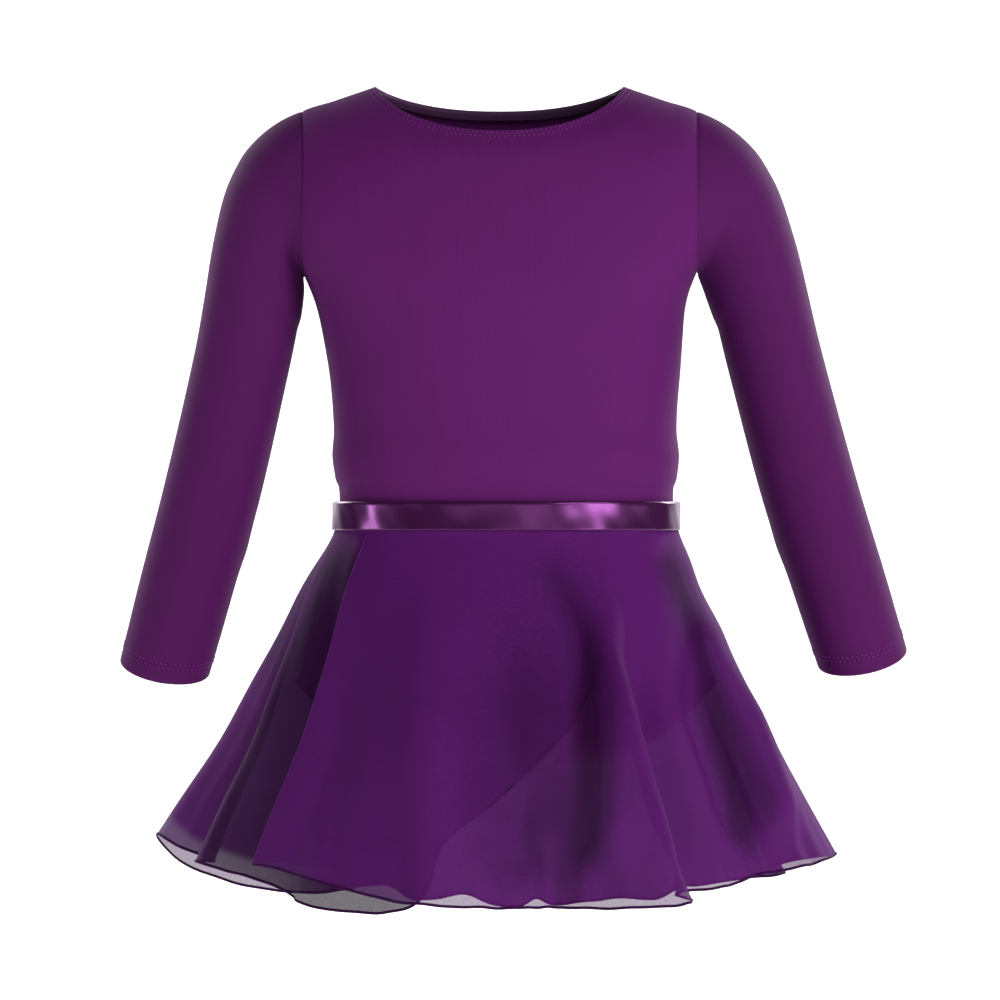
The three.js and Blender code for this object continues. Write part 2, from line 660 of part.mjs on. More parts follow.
const bow = new THREE.Group();
bow.position.set(0, BOW_Y, WAIST_Z);
leotardAndSkirt.add(bow);
add("bow_knot", bowKnot(), satin, bow).rotation.x = -Math.PI / 2;
for (const [name, side] of [
  ["left", 1],
  ["right", -1],
]) {
  const loop = add(`${name}_bow_loop`, bowLoop(), satin, bow);
  loop.rotation.y = side > 0 ? 0 : Math.PI;
  loop.position.set(side * (KNOT.width / 2 + 0.4), KNOT.depth / 2 + 2, (-side * RIBBON_HEIGHT) / 2);
  const tail = add(`${name}_ribbon_tail`, bowTail(), satin, bow);
  tail.rotation.set(Math.PI / 2 + TAIL_LEAN, 0, side * TAIL_SPLAY);
  tail.position.set(side * 6, KNOT.depth / 2, -KNOT.height / 2 - 1);
}

export default leotardAndSkirt;
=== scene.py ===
import math

import bmesh
import bpy
import numpy as np
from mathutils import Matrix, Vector


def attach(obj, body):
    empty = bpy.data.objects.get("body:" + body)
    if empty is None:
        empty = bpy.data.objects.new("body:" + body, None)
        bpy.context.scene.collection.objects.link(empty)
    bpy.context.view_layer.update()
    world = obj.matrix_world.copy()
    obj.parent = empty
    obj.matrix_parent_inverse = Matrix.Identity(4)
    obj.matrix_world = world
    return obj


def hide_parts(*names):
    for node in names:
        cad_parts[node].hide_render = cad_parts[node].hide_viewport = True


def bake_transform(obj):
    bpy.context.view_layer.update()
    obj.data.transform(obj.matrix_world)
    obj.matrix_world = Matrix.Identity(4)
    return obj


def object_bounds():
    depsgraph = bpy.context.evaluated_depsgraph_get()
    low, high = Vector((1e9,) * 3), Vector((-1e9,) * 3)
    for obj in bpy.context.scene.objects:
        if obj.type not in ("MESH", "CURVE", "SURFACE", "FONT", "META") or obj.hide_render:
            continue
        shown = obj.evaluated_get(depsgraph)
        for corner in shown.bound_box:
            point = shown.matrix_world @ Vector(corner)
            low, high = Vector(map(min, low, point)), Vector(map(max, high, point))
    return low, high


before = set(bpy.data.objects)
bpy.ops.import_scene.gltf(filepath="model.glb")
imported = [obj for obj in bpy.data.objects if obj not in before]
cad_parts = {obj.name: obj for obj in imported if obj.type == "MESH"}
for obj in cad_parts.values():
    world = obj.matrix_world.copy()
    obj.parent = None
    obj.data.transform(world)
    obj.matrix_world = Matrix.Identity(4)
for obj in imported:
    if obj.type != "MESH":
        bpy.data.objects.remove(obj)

bl_info = {
    "name": "Leotard with a chiffon wrap skirt",
    "version": (1, 0, 0),
    "blender": (4, 5, 0),
    "location": "View3D > Sidebar > Leotard",
    "description": "Sews a child's long-sleeved leotard and its tied chiffon wrap skirt",
    "category": "Object",
}

MM = 0.001
CAD_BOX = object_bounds()

# ---------------------------------------------------------------- measures, in millimetres
SECTION_POWER = 2.3  # how square the body's cross-section is: 2 is an ellipse
ARMHOLE_X = 118.0  # the armholes lie in the planes x = +-ARMHOLE_X
PIVOT_X, PIVOT_Z = 120.0, -48.0  # where an arm turns inside its sleeve
RIGHT_TURN = math.radians(-2)  # the right arm hangs closer in than the left
TURN_RINGS = 4.0
RIBBON_HEIGHT = 17.0
WAIST_Z = -257.5
CROTCH_HALF_WIDTH = 30.0
CROTCH_Z = -406.0
LEG_SIDE_X = 126.0
LEG_RISE = 50.0
LEG_HALF_DEPTH = 46.0
LEG_POWER_FRONT, LEG_POWER_BACK = 2.3, 3.0
CUFF_DIP = 9.0

# Level rings of the body: half-width and height at the side, then depth and height at the centre
# front and at the centre back.
BODY_RINGS = (
    (75, 0, 50, -27, 40, -15),
    (98, -8, 60, -44, 52, -36),
    (121, -16.5, 67, -66, 61, -60),
    (133, -36, 72, -88, 67, -84),
    (136, -62, 75, -106, 70, -103),
    (130, -88, 77, -121, 71, -119),
    (118, -112, 77, -137, 71, -136),
    (111, -131, 77, -151, 71, -150),
    (107.3, -154, 76, -168, 70, -167),
    (103.6, -190, 75, -198, 68, -198),
    (102.2, -222, 74, -224, 67, -224),
    (100.3, -240, 73, -240, 66, -240),
    (100.3, -275, 73, -275, 66, -275),
    (104.5, -292, 75.5, -292, 71.5, -292),
    (113, -313, 78, -313, 79, -313),
    (122, -345, 79, -345, 85, -345),
)
HIP = len(BODY_RINGS) - 1
LEG_EDGE = HIP + 1
WAIST_RING = 11

# Rings of the left sleeve: the outer and the inner point seen from the front, and the half-depth.
SLEEVE_RINGS = (
    (119, -16, 118.6, -112, 36),
    (143, -27.6, 118.8, -115, 36),
    (161.3, -56, 120, -121, 33),
    (172, -90, 123.5, -134, 31.5),
    (181, -126, 128.5, -149, 30.5),
    (190.5, -162, 135, -175, 30),
    (211, -236, 154, -247, 29.5),
    (228, -292, 172.5, -303, 29),
    (241, -337, 187.5, -347, 27),
)
CUFF = len(SLEEVE_RINGS) - 1

# The skirt's lower edge from the front flap's free edge round the back to the tip of the under flap:
# the angle at the waist, from the front towards +X, then the x, y and z of the edge below it.
SKIRT_EDGE = (
    (-50, -147, -108, -462),
    (-44, -127, -124, -463),
    (-37, -100, -144, -468),
    (-30, -72, -157, -475),
    (-22, -45, -170, -482),
    (-13, -22, -163, -484),
    (-4, 0, -152, -485),
    (4, 16, -144, -485),
    (11, 29, -140, -485),
    (17, 46, -149, -485),
    (23, 73, -163, -484),
    (28, 100, -169, -482),
    (31, 109, -156, -480),
    (34, 100, -138, -478),
    (39, 105, -124, -476),
    (50, 124, -112, -475),
    (60, 138, -97, -472),
    (66, 147, -84, -469),
    (72, 160, -77, -467),
    (78, 177, -70, -464),
    (84, 190, -54, -461),
    (90, 197, -32, -459),
    (96, 189, -8, -461),
    (104, 168, 14, -466),
    (113, 160, 46, -472),
    (123, 170, 80, -476),
    (133, 150, 108, -480),
    (143, 116, 118, -485),
    (153, 96, 146, -487),
    (163, 64, 170, -488),
    (172, 34, 154, -491),
    (182, 4, 142, -492),
    (192, -28, 154, -491),
    (202, -60, 172, -488),
    (212, -88, 152, -487),
    (222, -106, 120, -489),
    (232, -138, 104, -488),
    (242, -172, 88, -480),
    (252, -198, 60, -467),
    (260, -211, 28, -449),
    (266, -196, 6, -456),
    (271, -175, -10, -463),
    (276, -178, -32, -463),
    (281, -184, -52, -462),
    (287, -168, -68, -466),
    (293, -148, -78, -471),
    (299, -130, -88, -476),
    (306, -122, -104, -480),
    (315, -98, -114, -483),
    (325, -72, -122, -484),
    (335, -50, -128, -479),
    (345, -36, -124, -447),
    (357, -6, -118, -424),
    (370, 22, -103, -399),
    (383, 49, -91, -366),
    (394, 65, -75, -322),
    (403, 74.5, -58.5, -285),
)
SKIRT_START_Z = WAIST_Z - RIBBON_HEIGHT / 2 - 0.3
SKIRT_TOP_Z = WAIST_Z + 5
SKIRT_FLARE_POWER = 1.1
SKIRT_FLARE_SHIFT = 0.05
SKIRT_FLUTE_POWER = 1.7
FLAP_LAYER_STEP = 1.1
RIBBON_OUT = 4.3  # the ribbon's outer face lies this far outside the body
KNOT_Y = 75.2  # the middle of the bow's knot
LEAN_TOP = -3.2  # the worn bodice leans this far to the wearer's right at the shoulders
LEAN_WAIST = 0.8
RIGHT_CUFF_DROP = -2.4  # the right sleeve is worn a little longer
NECK_EASE_FRONT = -2.1  # the worn neckline hangs lower in front and sits higher behind
NECK_EASE_BACK = 1.7
BLOUSE = 1.9  # the knit stands out this far just above the ribbon


# Soft wrinkles of a sleeve: the angle round it, the ring, the spread round and along, and the height.
SLEEVE_WRINKLES = (
    (150, 3.3, 0.5, 0.22, 0.5),
    (160, 3.8, 0.6, 0.2, -0.5),
    (140, 4.3, 0.5, 0.25, 0.5),
    (120, 5.7, 0.7, 0.16, 0.8),
    (100, 6.1, 0.7, 0.18, -0.8),
    (60, 5.9, 0.6, 0.2, 0.6),
    (80, 7.2, 0.8, 0.16, 0.5),
    (200, 6.5, 0.7, 0.18, 0.7),
    (250, 5.8, 0.7, 0.2, -0.7),
)

# Creases of the front of the bodice: two ends as x and z, half-width and height (below 0 is a hollow).
BODICE_CREASES = (
    (((112, -116), (70, -150)), 7, -0.7),
    (((108, -128), (84, -190)), 8, 0.7),
    (((72, -90), (62, -170), (60, -250)), 6, 0.5),
    (((58, -120), (50, -245)), 6, -0.5),
    (((84, -150), (90, -246)), 7, -0.5),
    (((-112, -116), (-74, -146)), 7, -0.6),
    (((-108, -128), (-90, -190)), 8, 0.6),
    (((-60, -140), (-66, -246)), 9, 0.4),
    (((104, -70), (80, -130)), 9, -0.5),
    (((-104, -70), (-84, -124)), 9, -0.4),
)
# Where painted shade darkens the skirt's colour along its folds, listed the same way, and the line from
# which the inner layer is darkened by painted shade.
SKIRT_SHADES = (
    (((94, -276), (100, -291), (112, -323), (118, -347), (126, -379), (136, -416), (148, -470)), 8, 0.75),
    (((20, -276), (36, -302), (43, -319), (48, -338), (49, -401), (46, -433), (28, -494)), 11, 0.5),
    (((12, -290), (14, -400), (8, -494)), 32, 0.38),
)
INNER_SHADE = ((-108, -276), (-122, -311), (-129, -326), (-158, -392), (-186, -459))
# The fold of the front flap that laps over itself, by x and z.
LAPPED_FOLD = ((62, -300), (66, -332), (73, -357), (79, -385), (87, -416), (96.6, -449.5), (107.4, -486))
# Folds of the front of the skirt, the same way as the creases.
SKIRT_FOLDS = (
    (((16, -276), (34, -300), (43, -320), (48, -345), (49, -385), (46, -430), (34, -470)), 11, -6.5),
    (((50, -290), (60, -330), (66, -380), (68, -430), (66, -470)), 13, 4.5),
    (((-46, -285), (-46, -350), (-46, -480)), 22, 4.0),
    (((-8, -290), (2, -380), (6, -470)), 24, -5.5),
    (((28, -400), (12, -440), (2, -490)), 14, -5.0),
    (((-84, -300), (-98, -380), (-112, -470)), 16, -2.5),
    (((112, -338), (126, -380), (136, -416), (144, -455)), 9, -8.0),
    (((108, -290), (127, -340), (145, -380), (159, -420), (170, -455)), 9, 5.5),
)


# ---------------------------------------------------------------- what a user would change
class LeotardSizes(bpy.types.PropertyGroup):
    knit_wall: bpy.props.FloatProperty(
        name="Knit wall",
        description="Thickness of the jersey",
        default=0.55 * MM,
        subtype="DISTANCE",
        unit="LENGTH",
    )
    hem_fold: bpy.props.FloatProperty(
        name="Hem fold",
        description="Thickness of a turned hem",
        default=2.2 * MM,
        subtype="DISTANCE",
        unit="LENGTH",
    )
    stitch_pitch: bpy.props.FloatProperty(
        name="Stitch pitch",
        description="From one stitch to the next",
        default=2.9 * MM,
        subtype="DISTANCE",
        unit="LENGTH",
    )
    hem_roll: bpy.props.FloatProperty(
        name="Rolled hem",
        description="Width of the skirt's rolled hem",
        default=1.7 * MM,
        subtype="DISTANCE",
        unit="LENGTH",
    )


class LeotardColours(bpy.types.PropertyGroup):
    knit: bpy.props.FloatVectorProperty(
        name="Knit",
        description="Jersey colour",
        default=(0.107, 0.0088, 0.120),
        subtype="COLOR",
        size=3,
    )
    chiffon: bpy.props.FloatVectorProperty(
        name="Chiffon",
        description="Chiffon colour",
        default=(0.108, 0.0112, 0.150),
        subtype="COLOR",
        size=3,
    )
    satin: bpy.props.FloatVectorProperty(
        name="Satin",
        description="Ribbon colour",
        default=(0.034, 0.004, 0.035),
        subtype="COLOR",
        size=3,
    )


# ---------------------------------------------------------------- curves and surfaces
def smooth(t):
    t = np.clip(t, 0, 1)
    return t * t * (3 - 2 * t)


def signed_power(value, power):
    return np.sign(value) * np.abs(value) ** power


def mix(a, b, t):
    return a + (b - a) * t


def unit(v):
    return v / np.maximum(np.linalg.norm(v, axis=-1, keepdims=True), 1e-12)


def points(x, y, z):
    return np.stack(np.broadcast_arrays(x, y, z), axis=-1)


def rows_at(rows, at):
    """The rows of a table at fractional indices, on a smooth curve through them."""
    rows = np.asarray(rows, float)
    at = np.clip(np.asarray(at, float), 0, len(rows) - 1)
    i = np.minimum(at.astype(int), len(rows) - 2)
    t = (at - i)[..., None]
    here, after = rows[i], rows[i + 1]
    first, last = (i == 0)[..., None], (i + 2 >= len(rows))[..., None]
    before = np.where(first, 2 * here - after, rows[np.maximum(i - 1, 0)])
    beyond = np.where(last, 2 * after - here, rows[np.minimum(i + 2, len(rows) - 1)])
    leave, arrive = (after - before) / 2, (beyond - here) / 2
    t2, t3 = t * t, t * t * t
    value = (2 * t3 - 3 * t2 + 1) * here + (t3 - 2 * t2 + t) * leave
    value = value + (3 * t2 - 2 * t3) * after + (t3 - t2) * arrive
    return np.moveaxis(value, -1, 0)


def body_surface(front):
    """The body's front or back: `across` from right seam (-1) to left (1), `down` in rings."""

    def at(across, down):
        width, side_z, front_depth, front_z, back_depth, back_z = rows_at(BODY_RINGS, np.minimum(down, HIP))
        angle = np.clip(across, -1, 1) * math.pi / 2
        depth, centre_z = (front_depth, front_z) if front else (back_depth, back_z)
        facing = -1 if front else 1
        cosine = np.maximum(np.cos(angle), 0)
        hip = points(
            width * signed_power(np.sin(angle), 2 / SECTION_POWER),
            facing * depth * cosine ** (2 / SECTION_POWER),
            mix(side_z, centre_z, cosine**1.5),
        )
        share = hip[..., 0] / BODY_RINGS[HIP][0]
        x = LEG_SIDE_X * share * (0.5 + 0.5 * share * share)
        outside = np.maximum((np.abs(x) - CROTCH_HALF_WIDTH) / (LEG_SIDE_X - CROTCH_HALF_WIDTH), 0)
        edge_y = LEG_HALF_DEPTH * np.sqrt(np.maximum(1 - (2 * outside - 1) ** 2, 0))
        power = LEG_POWER_FRONT if front else LEG_POWER_BACK
        edge = points(x, facing * edge_y, CROTCH_Z + LEG_RISE * outside**power)
        bend = points(
            mix(hip[..., 0], edge[..., 0], 0.6),
            mix(edge[..., 1], hip[..., 1], 0.88),
            mix(hip[..., 2], edge[..., 2], 0.9),
        )
        t = np.clip(np.asarray(down, float) - HIP, 0, 1)[..., None]
        return (1 - t) ** 2 * hip + 2 * t * (1 - t) * bend + t * t * edge

    return at


def armhole_across(down):
    width = rows_at(BODY_RINGS, down)[0]
    return 2 / math.pi * np.arcsin(np.minimum(ARMHOLE_X / width, 1) ** (SECTION_POWER / 2))


def solve(value, target, low, high):
    """Where a rising or falling function of one number reaches the target."""
    rising = value(high) > value(low)
    for _ in range(50):
        middle = (low + high) / 2
        if (value(middle) < target) == rising:
            low = middle
        else:
            high = middle
    return (low + high) / 2


def body_width(down):
    return float(rows_at(BODY_RINGS, down)[0])


ARMHOLE_TOP = solve(body_width, ARMHOLE_X, 1, 3)
ARMHOLE_BOTTOM = solve(body_width, ARMHOLE_X, 5, 7)
CROTCH_ACROSS = solve(lambda a: float(body_surface(True)(a, LEG_EDGE)[0]), CROTCH_HALF_WIDTH, 0, 1)


def armhole_point(angle):
    """A point of the left armhole: angle 0 at the shoulder, half a turn at the underarm, front first."""
    middle, half = (ARMHOLE_TOP + ARMHOLE_BOTTOM) / 2, (ARMHOLE_BOTTOM - ARMHOLE_TOP) / 2
    down = middle - half * np.cos(angle)
    across = armhole_across(down)
    front, back = body_surface(True)(across, down), body_surface(False)(across, down)
    return np.where((np.sin(angle) >= 0)[..., None], front, back)


def leaned(grid):
    """The way the worn bodice leans: sideways by height."""
    z = grid[..., 2]
    shift = LEAN_TOP * smooth((z + 180) / 70) + LEAN_WAIST * smooth((-190 - z) / 60)
    return grid + points(shift, 0, 0)


def worn_surface(front):
    """The front or back of the body as worn: leaning a little, with its neckline eased down or up."""
    cut = body_surface(front)

    def at(across, down):
        ease = NECK_EASE_FRONT if front else NECK_EASE_BACK
        ease = ease * (1 - across**4) * np.exp(-((down / 0.7) ** 2))
        return leaned(cut(across, down) + points(0, 0, ease))

    return at


def sleeve_surface(side):
    """A sleeve by the angle round it, 0 outside and a quarter turn in front, and `along` in rings."""

    def at(angle, along):
        outer_x, outer_z, inner_x, inner_z, depth = rows_at(SLEEVE_RINGS, along)
        outwards, forwards = np.cos(angle), np.sin(angle)
        dip = CUFF_DIP * forwards * smooth((np.asarray(along) - 6) / 2)
        ring = points(
            (outer_x + inner_x) / 2 + (outer_x - inner_x) / 2 * outwards,
            -depth * forwards,
            (outer_z + inner_z) / 2 + (outer_z - inner_z) / 2 * outwards - dip,
        )
        point = mix(armhole_point(angle), ring, smooth(np.asarray(along) / 1.6)[..., None])
        if side < 0:
            turn = RIGHT_TURN * smooth(np.asarray(along) / TURN_RINGS)
            dx, dz = point[..., 0] - PIVOT_X, point[..., 2] - PIVOT_Z
            point = points(
                -(PIVOT_X + dx * np.cos(turn) - dz * np.sin(turn)),
                point[..., 1],
                PIVOT_Z + dx * np.sin(turn) + dz * np.cos(turn),
            )
        drop = RIGHT_CUFF_DROP * smooth((np.asarray(along) - 6) / 2) if side < 0 else 0.0
        return point + points(LEAN_TOP * (1 - smooth(np.asarray(along) / 4)), 0, drop)

    return at


def waist_point(degrees, out, z):
    width, _, front_depth, _, back_depth, _ = rows_at(BODY_RINGS, WAIST_RING)
    angle = np.radians(degrees)
    forward = np.cos(angle)
    depth = np.where(forward > 0, front_depth, back_depth)
    x = width * signed_power(np.sin(angle), 2 / SECTION_POWER)
    y = -depth * signed_power(forward, 2 / SECTION_POWER)
    slope = SECTION_POWER - 1
    nx, ny = signed_power(x / width, slope) / width, signed_power(y / depth, slope) / depth
    length = np.hypot(nx, ny)
    return points(x + nx / length * out + LEAN_WAIST, y + ny / length * out, z)


def skirt_surface(around, down):
    """The wrapped chiffon: `around` counts rows of SKIRT_EDGE, `down` goes from ribbon (0) to hem (1)."""
    degrees, edge_x, edge_y, edge_z = rows_at(SKIRT_EDGE, around)
    layer = FLAP_LAYER_STEP * (1 - smooth((degrees + 60) / 340))
    waist = waist_point(degrees, 2.3 + layer, SKIRT_START_Z)
    reach = np.hypot(edge_x / 1.15, edge_y)
    angle = np.radians(degrees)
    cone_x, cone_y = 1.15 * reach * np.sin(angle), -reach * np.cos(angle)
    down = np.asarray(down, float)
    below = np.maximum(down, 0)
    flare = below ** (SKIRT_FLARE_POWER + SKIRT_FLARE_SHIFT * np.sin(angle))
    flute = below**SKIRT_FLUTE_POWER
    return points(
        mix(waist[..., 0], cone_x, flare) + (edge_x - cone_x) * flute,
        mix(waist[..., 1], cone_y, flare) + (edge_y - cone_y) * flute,
        np.where(down < 0, mix(SKIRT_START_Z, SKIRT_TOP_Z, -down), mix(SKIRT_START_Z, edge_z, below)),
    )


def grid_normals(grid, closed, outward):
    """Unit normals of a grid of points; `outward` is 1 or -1 and turns them to the outside."""
    if closed:
        along = np.roll(grid, -1, axis=0) - np.roll(grid, 1, axis=0)
    else:
        along = np.gradient(grid, axis=0)
    return unit(np.cross(along, np.gradient(grid, axis=1))) * outward


def arc_lengths(grid, axis):
    step = np.linalg.norm(np.diff(grid, axis=axis), axis=-1)
    pad = [(0, 0)] * (grid.ndim - 1)
    pad[axis] = (1, 0)
    return np.pad(np.cumsum(step, axis=axis), pad)


def fold_height(grid, folds):
    """The height of soft folds over a grid seen from the front, each along a bent line."""
    height = np.zeros(grid.shape[:2])
    place = grid[..., [0, 2]]
    for line, width, rise in folds:
        best = np.full(height.shape, 1e9)
        window = np.ones(height.shape)
        for number, (start, end) in enumerate(zip(line[:-1], line[1:])):
            a, along = np.array(start, float), np.subtract(end, start).astype(float)
            t = (place - a) @ along / (along @ along)
            gap = np.linalg.norm(place - a - np.clip(t, 0, 1)[..., None] * along, axis=-1)
            nearer = gap < best
            best = np.where(nearer, gap, best)
            fade = np.ones(height.shape)
            if number == 0:
                fade = smooth((t + 0.1) / 0.9)
            if number == len(line) - 2:
                fade = fade * smooth((1.1 - t) / 0.9)
            window = np.where(nearer, fade, window)
        height += rise * np.exp(-((best / width) ** 2)) * window
    return height


# ---------------------------------------------------------------- meshes
def new_object(name, vertices, faces, uvs=None):
    mesh = bpy.data.meshes.new(name)
    mesh.from_pydata(np.asarray(vertices).tolist(), [], np.asarray(faces).tolist())
    if uvs is not None:
        layer = mesh.uv_layers.new(name="cloth")
        index = np.empty(len(mesh.loops), int)
        mesh.loops.foreach_get("vertex_index", index)
        layer.data.foreach_set("uv", np.asarray(uvs, np.float32)[index].ravel())
    mesh.update()
    mesh.polygons.foreach_set("use_smooth", [True] * len(mesh.polygons))
    piece = bpy.data.objects.new(name, mesh)
    bpy.context.scene.collection.objects.link(piece)
    return piece


def cloth_grid(name, grid, closed=False, flip=False):
    """A sheet over a grid of points in millimetres, with a cloth map in metres from its middle column."""
    columns = np.concatenate([grid, grid[:1]], axis=0) if closed else grid
    count, rows = columns.shape[:2]
    across = arc_lengths(columns, 0)
    across = across - across[count // 2]
    uv = np.stack([across, -arc_lengths(columns, 1)], axis=-1) * MM
    index = np.arange(count * rows).reshape(count, rows)
    a, b, c, d = index[:-1, :-1], index[1:, :-1], index[1:, 1:], index[:-1, 1:]
    corners = [a, d, c, b] if flip else [a, b, c, d]
    faces = np.stack([corner.ravel() for corner in corners], axis=-1)
    piece = new_object(name, columns.reshape(-1, 3) * MM, faces, uv.reshape(-1, 2))
    if closed:
        edit(piece, lambda mesh: bmesh.ops.remove_doubles(mesh, verts=mesh.verts, dist=1e-6))
    return piece


def edit(piece, change):
    mesh = bmesh.new()
    mesh.from_mesh(piece.data)
    change(mesh)
    mesh.to_mesh(piece.data)
    mesh.free()
    piece.data.polygons.foreach_set("use_smooth", [True] * len(piece.data.polygons))


def close_ends(piece):
    def change(mesh):
        bmesh.ops.holes_fill(mesh, edges=[edge for edge in mesh.edges if edge.is_boundary], sides=0)
        bmesh.ops.recalc_face_normals(mesh, faces=mesh.faces)

    edit(piece, change)


def apply_all(piece):
    bpy.ops.object.select_all(action="DESELECT")
    bpy.context.view_layer.objects.active = piece
    piece.select_set(True)
    for modifier in list(piece.modifiers):
        bpy.ops.object.modifier_apply(modifier=modifier.name)
    piece.select_set(False)


def thicken(piece, wall, offset=-1.0):
    """Gives a sheet its thickness, in metres."""
    solid = piece.modifiers.new("wall", "SOLIDIFY")
    solid.thickness = wall
    solid.offset = offset
    solid.use_even_offset = True
    solid.use_quality_normals = True
    apply_all(piece)


def set_finish(piece, name):
    piece.data.materials.clear()
    piece.data.materials.append(finish(name))
    return piece


def tube(name, path, radius_across, radius_up, material, sides=8):
    """A thin round strip along a path in millimetres."""
    tangent = unit(np.gradient(path, axis=0))
    across = unit(np.cross(tangent, (0.0, 0.0, 1.0)))
    lift = unit(np.cross(across, tangent))
    turns = np.linspace(0, 2 * math.pi, sides + 1)[:-1]
    around = [(radius_across * math.cos(a), radius_up * math.sin(a)) for a in turns]
    grid = np.stack([path + across * a + lift * b for a, b in around])
    piece = cloth_grid(name, grid, closed=True)
    close_ends(piece)
    return set_finish(piece, material)


def resampled(path, normals, pitch):
    lengths = arc_lengths(path[None], 1)[0]
    count = max(int(lengths[-1] // pitch), 1)
    at = (np.arange(count) + 0.5) * lengths[-1] / count
    place = np.stack([np.interp(at, lengths, path[:, k]) for k in range(3)], axis=-1)
    out = unit(np.stack([np.interp(at, lengths, normals[:, k]) for k in range(3)], axis=-1))
    ahead = np.stack([np.interp(at + 0.3, lengths, path[:, k]) for k in range(3)], axis=-1)
    behind = np.stack([np.interp(at - 0.3, lengths, path[:, k]) for k in range(3)], axis=-1)
    return place, out, unit(ahead - behind)


def stitches(name, rows, material="thread", length=2.1, radius=0.31, slant=0.0):
    """Sewn stitches along rows of (path, normals) in millimetres, each a small rounded bar."""
    pitch = bpy.context.scene.leotard_sizes.stitch_pitch / MM
    profile = ((-0.5, 0.15), (-0.42, 0.75), (-0.2, 1.0), (0.2, 1.0), (0.42, 0.75), (0.5, 0.15))
    ring = np.linspace(0, 2 * math.pi, 7)[:-1]
    vertices, faces = [], []
    for path, normals in rows:
        place, out, along = resampled(path, normals, pitch)
        side = unit(np.cross(out, along))
        along = unit(along + side * slant)
        side = unit(np.cross(out, along))
        for p, n, t, w in zip(place, out, along, side):
            first = len(vertices)
            for step, size in profile:
                centre = p + t * step * length + n * radius * (0.55 - abs(step))
                vertices.extend(centre + radius * size * (w * math.cos(a) + n * math.sin(a)) for a in ring)
            for k in range(len(profile) - 1):
                for j in range(6):
                    a, b = first + k * 6 + j, first + k * 6 + (j + 1) % 6
                    faces.append((a, b, b + 6, a + 6))
    return set_finish(new_object(name, np.array(vertices) * MM, faces), material)


def needle_shadow_strips(name, rows, width=0.5, lift=0.1):
    """Painted shadow of the shallow grooves the needles pull into the cloth: thin dark strips under the
    rows of stitches.
    """
    vertices, faces = [], []
    for path, normals in rows:
        side = unit(np.cross(normals, np.gradient(path, axis=0)))
        first, count = len(vertices), len(path)
        for across, up in ((-1, -0.3), (-0.6, lift), (0.6, lift), (1, -0.3)):
            vertices.extend(path + side * across * width + normals * up)
        for k in range(3):
            for j in range(count - 1):
                a = first + k * count + j
                faces.append((a, a + count, a + count + 1, a + 1))
    return set_finish(new_object(name, np.array(vertices) * MM, faces), "needle")


def line_at(grid, normals, distance, from_end=False):
    """The line over a grid at a distance in millimetres from its first or last row."""
    if from_end:
        grid, normals = grid[:, ::-1], normals[:, ::-1]
    lengths = arc_lengths(grid, 1)
    path = [[np.interp(distance, lengths[i], grid[i, :, k]) for k in range(3)] for i in range(len(grid))]
    out = [[np.interp(distance, lengths[i], normals[i, :, k]) for k in range(3)] for i in range(len(grid))]
    return np.array(path), np.array(out)


def turned_edge(grid, normals, radius, plies, at_start):
    """Folds the first or last rows of a grid over to the inside. `radius` may vary by column."""
    if not at_start:
        grid, normals = grid[:, ::-1], normals[:, ::-1]
    radius = np.broadcast_to(radius, grid.shape[:1])[:, None, None]
    onward = unit(grid[:, :1] - grid[:, 1:2])
    a = np.linspace(0, math.pi, 9)[1:-1][None, :, None]
    lip = grid[:, :1] + onward * radius * np.sin(a) - normals[:, :1] * radius * (1 - np.cos(a))
    under = grid[:, :plies] - 2 * radius * normals[:, :plies]
    rolled = np.concatenate([under[:, ::-1], lip[:, ::-1], grid], axis=1)
    return rolled if at_start else rolled[:, ::-1]


# ---------------------------------------------------------------- shader maths
class Value:
    """A number or colour that varies over a surface; arithmetic on it adds Math nodes."""

    def __init__(self, finish, socket):
        self.finish = finish
        self.socket = socket

    def math(self, operation, *values):
        inputs = {i: value for i, value in enumerate(values)}
        return self.finish.node("ShaderNodeMath", {"operation": operation}, inputs)

    def __add__(self, other):
        return self.math("ADD", self, other)

    def __radd__(self, other):
        return self.math("ADD", other, self)

    def __sub__(self, other):
        return self.math("SUBTRACT", self, other)

    def __rsub__(self, other):
        return self.math("SUBTRACT", other, self)

    def __mul__(self, other):
        return self.math("MULTIPLY", self, other)

    def __rmul__(self, other):
        return self.math("MULTIPLY", other, self)

    def __truediv__(self, other):
        return self.math("DIVIDE", self, other)

    def __pow__(self, other):
        return self.math("POWER", self, other)

    def sine(self):
        return self.math("SINE", self)

    def limited(self, low, high):
        return self.math("MAXIMUM", self.math("MINIMUM", self, high), low)


class Finish:
    """One material, built from nodes."""

    def __init__(self, name):
        self.material = bpy.data.materials.new(name)
        self.material.use_nodes = True
        self.tree = self.material.node_tree
        self.tree.nodes.clear()

    def make(self, kind, settings=None, inputs=None):
        node = self.tree.nodes.new(kind)
        for key, value in (settings or {}).items():
            if key == "stops":
                self.set_stops(node.color_ramp, value)
            else:
                setattr(node, key, value)
        for key, value in (inputs or {}).items():
            if isinstance(value, Value):
                self.tree.links.new(value.socket, node.inputs[key])
            else:
                node.inputs[key].default_value = value
        return node

    def node(self, kind, settings=None, inputs=None, output=0):
        return Value(self, self.make(kind, settings, inputs).outputs[output])

    @staticmethod
    def set_stops(ramp, stops):
        while len(ramp.elements) < len(stops):
            ramp.elements.new(0.5)
        for element, (place, colour) in zip(ramp.elements, stops):
            element.position = place
            element.color = (*colour, 1) if len(colour) == 3 else colour

    def surface(self, shader):
        output = self.make("ShaderNodeOutputMaterial")
        self.tree.links.new(shader.socket, output.inputs["Surface"])
        return self.material


def shade_of(colour, factor):
    return (*(max(0.0, min(1.0, c * factor)) for c in colour), 1)


